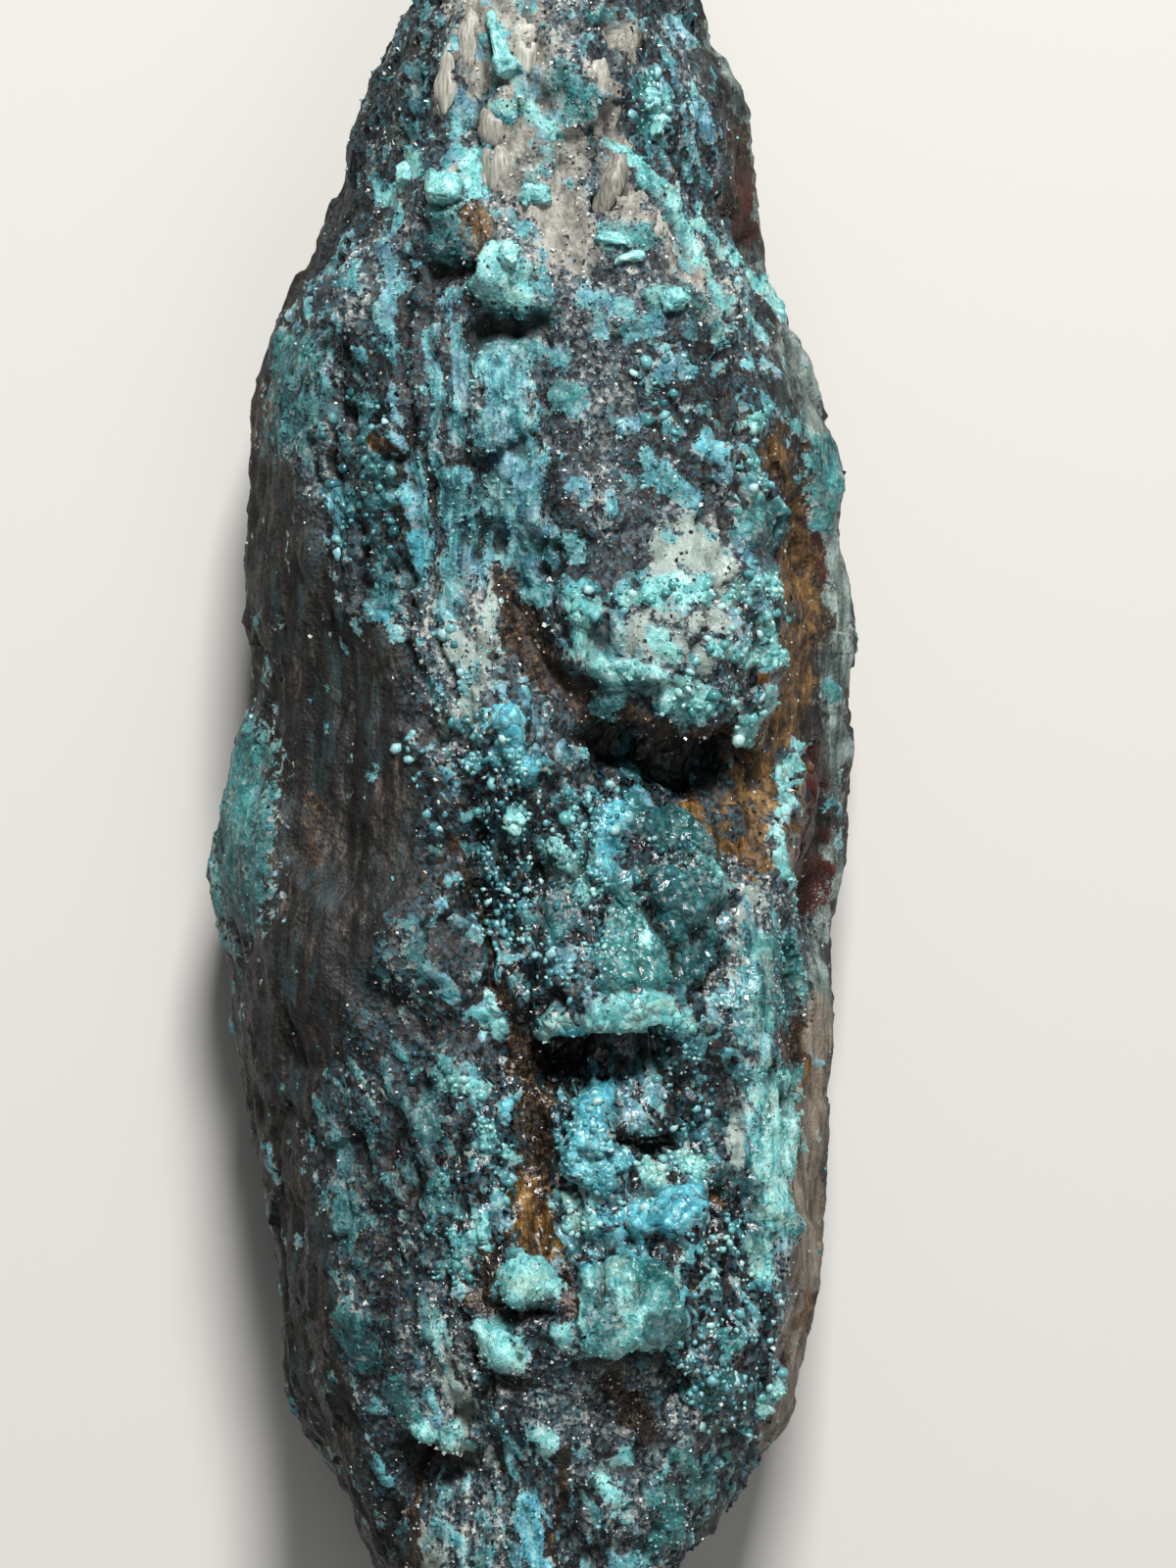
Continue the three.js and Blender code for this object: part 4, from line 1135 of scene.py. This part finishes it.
# Beds of beads are (how crowded, half width, middle line), placed as the seams are.
BEAD_BEDS = [
    (1.0, 1.3, [(-1.2, 0.4), (-0.9, -3.0), (-1.2, -6.0)]),
    (1.0, 0.9, [(0.6, -1.0), (1.8, -1.2), (3.2, -0.8)]),
    (1.0, 0.7, [(1.2, -2.6), (1.6, -4.4), (2.8, -3.2), (4.6, -2.9), (6.8, -3.1)]),
    (0.8, 0.9, [(0.6, -6.6), (1.6, -7.4), (2.6, -6.2)]),
    (0.7, 0.45, [(8.2, 8.2), (9.0, 7.6), (8.9, 5.4), (8.7, 3.4), (8.0, 1.8)]),
    (0.25, 1.2, [(7.4, 7.2), (7.6, 4.8), (6.6, 3.0)]),
    (0.2, 0.8, [(2.2, 6.8), (4.6, 7.2), (6.2, 7.4)]),
    (0.9, 0.35, [(-1.7, 8.0), (-1.7, 4.6)]),
    (0.5, 1.1, [(-2.8, 5.0), (-2.8, 1.6)]),
    (0.8, 0.6, [(-4.4, 1.6), (-4.2, -0.6), (-3.2, -2.0)]),
    (0.6, 0.7, [(-4.2, -10.8), (-2.6, -12.0), (-1.4, -13.8), (-0.8, -15.4)]),
    (0.2, 1.2, [(1.6, -13.0), (3.4, -15.6), (2.0, -16.4)]),
    (0.5, 1.0, [(5.4, -10.6), (6.4, -12.2), (5.4, -14.6)]),
    (0.4, 1.3, [(7.2, -17.2), (7.8, -19.6), (8.2, -22.8)]),
    (0.6, 0.8, [(-3.2, -15.6), (-3.2, -18.6)]),
    (0.5, 1.2, [(6.4, -21.6), (7.2, -24.2)]),
    (0.25, 1.6, [(-6.8, 14.0), (-6.4, 9.0)]),
    (0.3, 0.7, [(4.0, 26.8), (4.3, 25.2)]),
    (0.12, 1.4, [(5.2, 16.6), (4.6, 12.6)]),
    (0.25, 0.6, [(8.6, 14.6), (8.6, 11.6)]),
]

rng = np.random.default_rng(18)
grid_shape = shape.reshape(ROWS, COLUMNS, 3)
final_out = outward(grid_shape).reshape(-1, 3)
to_next_column = np.roll(grid_shape, -1, axis=1) - grid_shape
to_next_row = np.gradient(grid_shape, axis=0)
patch_area = np.linalg.norm(np.cross(to_next_column, to_next_row), axis=2).ravel() * off_the_floor
NEIGHBOURHOOD = 0.6  # mm: beads further apart than this never touch


def packed_side_by_side(chosen, size, closeness):
    """Which of the chosen spots to keep, so that no two beads stand closer than this share of a bead."""
    taken = {}
    kept = []
    for number, spot in enumerate(shape[chosen]):
        home = tuple(np.floor(spot / NEIGHBOURHOOD).astype(int))
        others = []
        for step in itertools.product((-1, 0, 1), repeat=3):
            others += taken.get(tuple(np.add(home, step)), [])
        if others:
            away = np.linalg.norm(shape[chosen[others]] - spot, axis=1)
            if (away < closeness * (size[others] + size[number]) / 2).any():
                continue
        taken.setdefault(home, []).append(number)
        kept.append(number)
    return np.array(kept)


def strewn(name, form, crowding, count, small, large, sink, squash, paleness, closeness=0.0):
    """Copies of a small form, grown fast on the skin where crowding is high, joined as one mesh.

    Sizes run from small to large, in mm; sink is the share of each that lies in the rock, and
    squash how far it may be out of true.
    """
    points, faces = form
    odds = patch_area * crowding
    chosen = rng.choice(len(odds), count, p=odds / odds.sum())
    size = small + (large - small) * rng.random(count) ** 2.2  # small ones are far commoner
    if closeness:
        kept = packed_side_by_side(chosen, size, closeness)
        chosen, size = chosen[kept], size[kept]
        count = len(kept)
    axes = rng.normal(size=(count, 3, 3))
    first = axes[:, 0] / np.linalg.norm(axes[:, 0], axis=1, keepdims=True)
    second = np.cross(first, axes[:, 1])
    second /= np.linalg.norm(second, axis=1, keepdims=True)
    turn = np.stack([first, second, np.cross(first, second)], axis=1)
    stretch = 1 + squash * (rng.random((count, 1, 3)) * 2 - 1)
    uneven = 1 + 0.36 * squash * rng.normal(size=(count, len(points), 1))  # corner by corner
    grown = (points[None] * uneven * stretch) @ turn * (size / 2)[:, None, None]
    middles = shape[chosen] + final_out[chosen] * (size * (0.5 - sink))[:, None]
    all_points = (grown + middles[:, None]).reshape(-1, 3)
    all_points[:, 2] = np.maximum(all_points[:, 2], 0.02)  # just clear of the floor
    all_faces = (faces[None] + (np.arange(count) * len(points))[:, None, None]).reshape(-1, 3)
    made = mesh_object(name, all_points, all_faces.tolist())
    mark(made, "tint", np.repeat(rng.random(count), len(points)))
    strays = 0.8 * rng.random(count) ** 2  # a few pale ones lie anywhere
    pale = np.maximum(eased(paleness[chosen], -0.2, 0.4), strays)
    mark(made, "pale", np.repeat(pale, len(points)))
    # Beads and crumbs darken where their seam is deep teal, partly painted shade.
    mark(made, "deep_teal_and_shade", np.repeat(eased(deep_teal_and_shade[chosen], -0.3, 0.3), len(points)))
    return made


def ball(subdivisions):
    """Points and triangles of a round ball of radius 1."""
    raw = bmesh.new()
    bmesh.ops.create_icosphere(raw, subdivisions=subdivisions, radius=1.0)
    points = np.array([vertex.co for vertex in raw.verts])
    faces = np.array([[vertex.index for vertex in face.verts] for face in raw.faces])
    raw.free()
    return points, faces


def beds(places):
    """How crowded the grains of these beds are at each spot."""
    return on_front * np.max([
        crowd * eased(depth_into(path, width), -0.1, 0.4) for crowd, width, path in places
    ], axis=0)


bead_crowding = beds(BEAD_BEDS) * (0.12 + solid_turquoise) * (1 - 0.9 * earthy) * (1 - 0.7 * crevice)
beads = strewn(
    "turquoise_beads", ball(1), bead_crowding, BEAD_TRIES,
    small=0.16, large=0.52, sink=0.68, squash=0.45, paleness=mint, closeness=0.80,
)


def grown_mineral(name, patterns, tone, plain, gloss, ior, tinged=None, bump=None):
    """A mineral in small pieces, shaded piece by piece.

    patterns are named (size along X, Y and Z in mm, layers, harshness). tone is the weight of each
    pattern or stored number, and picks a colour from the plain run, and from a tinged run where the
    stored number that it is named for is high. gloss is one roughness, or a pattern with the least
    and the most. bump is (what raises it, strength, height in mm).
    """
    made, tree, place = bare_material(name)
    tinged = tinged or {}
    read = {}
    for label, (size, layers, harshness) in patterns.items():
        counted = add(tree, "Mapping", {"Vector": place, "Scale": [1 / (MM * side) for side in size]})
        read[label] = add(
            tree, "TexNoise", {"Vector": counted, "Scale": 1.0, "Detail": layers, "Roughness": harshness}
        )
    for label in [*tone, *tinged]:
        if label not in read:
            read[label] = add(tree, "Attribute", {}, "Fac", attribute_name=label)
    total = 0.0
    for label, weight in tone.items():
        total = add(tree, "Math", {0: read[label], 1: weight, 2: total}, operation="MULTIPLY_ADD")
    read["tone"] = total
    colour = add(tree, "ValToRGB", {"Fac": total}, stops=plain)
    for label, stops in tinged.items():
        over = add(tree, "ValToRGB", {"Fac": total}, stops=stops)
        colour = add(tree, "Mix", {0: read[label], 6: colour, 7: over}, 2, data_type="RGBA")
    if isinstance(gloss, tuple):
        label, least, most = gloss
        gloss = add(
            tree, "MapRange",
            {"Value": read[label], "From Min": 0.3, "From Max": 0.7, "To Min": least, "To Max": most},
            interpolation_type="SMOOTHSTEP",
        )
    looks = {"Base Color": colour, "Roughness": gloss, "IOR": ior}
    if bump:
        label, strength, height = bump
        looks["Normal"] = add(
            tree, "Bump", {"Height": read[label], "Strength": strength, "Distance": height * MM}
        )
    add(tree, "OutputMaterial", {"Surface": add(tree, "BsdfPrincipled", looks)})
    return made


# Waxy turquoise in beads: smooth and wet-looking, each bead its own shade, minty where it is pale
# and dark teal where its seam is deep teal, which is partly painted shade.
beads.data.materials.append(grown_mineral(
    "turquoise_waxy_beads",
    patterns={"cloudy": ((0.25, 0.25, 0.25), 4.0, 0.7)},
    tone={"tint": 0.6, "cloudy": 0.45},
    plain=((0.2, "#24565F"), (0.42, "#4A8D97"), (0.64, "#7FBBC0"), (0.90, "#C6E4E0")),
    tinged={
        "pale": ((0.2, "#3B8686"), (0.45, "#66AFAC"), (0.68, "#90CDC6"), (0.92, "#CFEBE2")),
        "deep_teal_and_shade": ((0.2, "#12363C"), (0.45, "#22595F"), (0.68, "#3B7D81"), (0.92, "#79B1AF")),
    },
    gloss=("cloudy", 0.16, 0.42), ior=1.61, bump=("cloudy", 0.35, 0.06),
))
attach(beads, "root")

# ---- Turquoise crumbs --------------------------------------------------------------------------
# Broken turquoise weathers to sharp little crumbs that stay stuck to their seam. They are drier
# and duller than the beads.
CRUMB_COUNT = 6000
chunk_points = 0.62 * np.array(list(itertools.product((-1, 1), repeat=3)), float)
chunk_faces = np.array([
    (0, 1, 3), (0, 3, 2), (4, 6, 7), (4, 7, 5), (0, 4, 5), (0, 5, 1),
    (2, 3, 7), (2, 7, 6), (0, 2, 6), (0, 6, 4), (1, 5, 7), (1, 7, 3),
])
chunk = (chunk_points, chunk_faces)
crumb_crowding = solid_turquoise * (1 - 0.9 * flank) * (1 - 0.5 * crevice) * (1 - 0.9 * smooth_skin)
crumb_crowding += 0.01
crumbs = strewn(
    "turquoise_crumbs", chunk, crumb_crowding, CRUMB_COUNT,
    small=0.08, large=0.20, sink=0.64, squash=0.7, paleness=mint,
)
crumbs.data.shade_flat()

# Dry turquoise, dull and chalky, in the same shades as the seam that each crumb came from, painted
# shade included.
crumbs.data.materials.append(grown_mineral(
    "turquoise_dry_crumbs",
    patterns={"cloudy": ((0.9, 0.9, 0.9), 3.0, 0.6)},
    tone={"tint": 0.6, "cloudy": 0.5},
    plain=((0.2, "#22555F"), (0.5, "#4B8C96"), (0.75, "#76AFB4"), (0.95, "#B5D6D2")),
    tinged={
        "pale": ((0.2, "#3F8684"), (0.5, "#71B4AF"), (0.75, "#9ED3CA"), (0.95, "#D5ECE3")),
        "deep_teal_and_shade": ((0.2, "#12363C"), (0.5, "#22595F"), (0.75, "#3B7D81"), (0.95, "#79B1AF")),
    },
    gloss=0.7, ior=1.58,
))
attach(crumbs, "root")

# ---- Quartz lenses ----------------------------------------------------------------------------
# Towards the narrow end, grey quartz has grown in the seam as small lenses with pointed ends. They
# are cloudy, finely ribbed along their length, and half sunk in the paler rock round them.
# Each lens is (X, Y, width, length, lean in degrees), in mm.
LENSES = [
    (-1.4, 23.6, 1.60, 2.0, -5), (-3.2, 26.8, 1.00, 2.6, 4), (3.1, 23.0, 1.40, 2.8, 14),
    (-0.3, 28.0, 0.90, 1.9, -10), (-1.3, 25.1, 1.30, 1.5, -30), (-2.4, 28.6, 0.90, 2.2, 6),
    (2.7, 26.9, 1.00, 1.8, 10), (4.5, 21.3, 0.80, 1.8, 38),
]


def settled(points, x, y, lean, lift):
    """The points of a small form, laid along the skin at this place and turned from the Y axis."""
    near = np.argmin(np.hypot(*(seen - (x, y)).T) + 100 * (1 - on_front))  # never round the back
    up = Vector(face_out[near])
    along = Vector((math.sin(math.radians(lean)), math.cos(math.radians(lean)), 0))
    along = (along - up * along.dot(up)).normalized()
    return points @ np.array([along.cross(up), along, up]) + shape[near] + lift * np.array(up)


def lens(x, y, width, length, lean):
    """Points of one lens, pointed at both ends, half sunk in the rock and ribbed."""
    points = lens_form * (width / 2, length / 2, width / 4)
    points[:, 0] *= 1 - 0.4 * np.abs(lens_form[:, 1]) ** 1.5
    points += 0.22 * rough(points + (x, y, 0), (0.5, 1.2, 0.5), 301, 3)[:, None] * lens_form
    return settled(points, x, y, lean, -0.15 * width)


lens_form, lens_faces = ball(3)
lens_points = np.vstack([lens(*place) for place in LENSES])
lens_triangles = np.vstack([lens_faces + k * len(lens_form) for k in range(len(LENSES))])
lenses = mesh_object("quartz_lenses", lens_points, lens_triangles.tolist())
mark(lenses, "tint", np.repeat(rng.random(len(LENSES)), len(lens_form)))

# Cloudy quartz: grey, faintly warm, ribbed along the lens, with a soft gloss like wet glass.
lenses.data.materials.append(grown_mineral(
    "cloudy_grey_quartz",
    patterns={"ribs": ((0.12, 1.0, 0.12), 4.0, 0.65)},
    tone={"ribs": 0.8, "tint": 0.26},
    plain=((0.34, "#5C574F"), (0.46, "#7F7A70"), (0.58, "#A19D92"), (0.74, "#C6C4B8")),
    gloss=("ribs", 0.3, 0.5), ior=1.54, bump=("ribs", 0.5, 0.08),
))
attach(lenses, "root")

# ---- Turquoise blocks --------------------------------------------------------------------------
# Near the narrow end a few pieces of turquoise stand out whole: squared blocks, a long shard and
# thin blades, hard and pale, half sunk in the rock, with flat faces and worn, pitted edges.
# Each is (X, Y, width, length, thickness, lean in degrees, how much it narrows upwards), in mm.
BLOCKS = [
    (-3.2, 22.6, 1.40, 1.10, 1.5, 8, 0.1), (0.1, 22.5, 1.20, 0.85, 0.9, -8, 0.2),
    (-1.15, 28.2, 0.95, 2.7, 0.9, -20, 0.8), (3.1, 20.7, 1.6, 0.42, 0.6, 12, 0.1),
    (3.6, 20.2, 1.2, 0.36, 0.6, -14, 0.3), (-0.9, 20.2, 0.7, 0.7, 0.7, 30, 0.3),
    (4.2, 26.2, 0.9, 0.8, 0.7, 20, 0.3), (4.4, 25.2, 0.7, 0.7, 0.6, -20, 0.3),
    (5.3, 18.4, 1.1, 0.8, 0.6, -30, 0.3), (-4.6, 23.2, 0.6, 0.9, 0.6, -35, 0.3),
    (4.3, -6.1, 0.6, 0.7, 0.5, 10, 0.2), (-0.7, -1.3, 0.70, 0.70, 0.6, 20, 0.2),
    (-1.9, -17.0, 0.55, 1.1, 0.6, 0, 0.3), (5.2, -9.1, 0.8, 0.7, 0.6, 15, 0.2),
]


def block(x, y, width, length, thickness, lean, taper):
    """Points of one squared block, its faces a little out of true and pitted."""
    points = np.sign(block_form) * np.abs(block_form) ** 0.5
    points[:, 0] *= 1 - taper * (points[:, 1] + 1) / 2
    points = points * (width / 2, length / 2, thickness / 2)
    chipped = 0.16 * chips(points + (x, y, 0), 0.5, 311)
    points += chipped[:, None] * block_form
    pitted = 0.10 * rough(points + (x, y, 0), 0.2, 321, 2)
    points += pitted[:, None] * block_form
    return settled(points, x, y, lean, -0.06 * thickness)


block_form, block_form_faces = ball(4)  # fine enough for the pits
block_points = np.vstack([block(*place) for place in BLOCKS])
block_faces = np.vstack([block_form_faces + k * len(block_form) for k in range(len(BLOCKS))])
blocks = mesh_object("turquoise_blocks", block_points, block_faces.tolist())
mark(blocks, "tint", np.repeat(rng.random(len(BLOCKS)), len(block_form)))

# Pale turquoise, dense and slightly waxy, mottled with teal and dusted with fine quartz.
blocks.data.materials.append(grown_mineral(
    "pale_dense_turquoise",
    patterns={"mottle": ((0.45, 0.45, 0.45), 5.0, 0.7), "pores": ((0.10, 0.10, 0.10), 2.0, 0.6)},
    tone={"mottle": 0.7, "pores": 0.35, "tint": 0.10},
    plain=((0.40, "#2F7478"), (0.50, "#5FA9AA"), (0.58, "#8CCFCC"), (0.72, "#CDEFE8")),
    gloss=("pores", 0.35, 0.6), ior=1.56, bump=("tone", 0.6, 0.10),
))
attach(blocks, "root")

# ---- Quartz sugar ------------------------------------------------------------------------------
# The host rock is a sugar of quartz: sharp grains a fifth of a millimetre across, from nearly
# black to clear white, whose flat faces glitter as they catch the lamp.
SUGAR_COUNT = 11000
sugar_crowding = sugary * (1 - 0.6 * crevice) * (1 - 0.6 * smooth_skin)
sugar_crowding *= 1 - 0.5 * eased(quartz, -0.2, 0.3)
sugar_crowding += 0.8 * eased(pale_rock, -0.2, 0.4) * (1 - crevice) + 0.01
sugar_grains = strewn(
    "quartz_sugar", chunk, sugar_crowding, SUGAR_COUNT,
    small=0.07, large=0.18, sink=0.62, squash=0.6, paleness=pale_rock,
)
sugar_grains.data.shade_flat()

# Sharp quartz: mostly smoky, here and there clear to white, and glassy enough to glitter.
sugar_grains.data.materials.append(grown_mineral(
    "quartz_sugar",
    patterns={"cloudy": ((2.2, 2.2, 2.2), 3.0, 0.6)},
    tone={"tint": 0.85, "cloudy": 0.3, "pale": 0.22},
    plain=(
        (0.15, "#08090A"), (0.5, "#1D2225"), (0.76, "#414A4E"), (0.88, "#8A9292"), (1.0, "#DADCD6"),
    ),
    gloss=0.22, ior=1.54,
))
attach(sugar_grains, "root")

# ---- The floor, the light and the camera -----------------------------------------------------
# A plain sheet of pale card, matt enough to show no reflection, lit by one soft lamp beyond the
# narrow end of the stone and a weak, broad one from the near side. The camera looks straight down.
bpy.ops.mesh.primitive_plane_add(size=1.2, location=(0, 0, 0))
floor = bpy.context.object
floor.name = "floor"
paper = bpy.data.materials.new("matt_card")
paper.use_nodes = True
paper.node_tree.nodes["Principled BSDF"].inputs["Base Color"].default_value = hue("#D6D3CD")
paper.node_tree.nodes["Principled BSDF"].inputs["Roughness"].default_value = 0.9
floor.data.materials.append(paper)


def soft_lamp(name, towards, distance, size, power):
    """A square lamp that faces the stone, in metres and watts."""
    lamp = bpy.data.lights.new(name, "AREA")
    lamp.size, lamp.energy = size, power
    made = bpy.data.objects.new(name, lamp)
    made.location = Vector(towards).normalized() * distance
    made.rotation_euler = made.location.to_track_quat("Z", "Y").to_euler()
    bpy.context.scene.collection.objects.link(made)


soft_lamp("key_lamp", towards=(0.12, 0.85, 0.90), distance=0.5, size=0.12, power=3.5)
soft_lamp("fill_lamp", towards=(0.3, -0.5, 1.0), distance=0.6, size=0.4, power=0.6)
world = bpy.data.worlds.new("studio")
world.use_nodes = True
world.node_tree.nodes["Background"].inputs["Color"].default_value = hue("#E9EEF2")
world.node_tree.nodes["Background"].inputs["Strength"].default_value = 0.12
bpy.context.scene.world = world
bpy.context.scene.view_settings.view_transform = "Standard"

VIEW_TALL = 60.0  # the stretch of the ruler, in mm, that the camera takes in
camera = bpy.data.objects.new("camera", bpy.data.cameras.new("camera"))
camera.location = EYE * MM
camera.data.sensor_fit = "VERTICAL"
camera.data.angle_y = 2 * math.atan(VIEW_TALL / 2 / (EYE[2] - SEEN_LEVEL))
camera.data.clip_start = 0.01
bpy.context.scene.collection.objects.link(camera)
bpy.context.scene.camera = camera
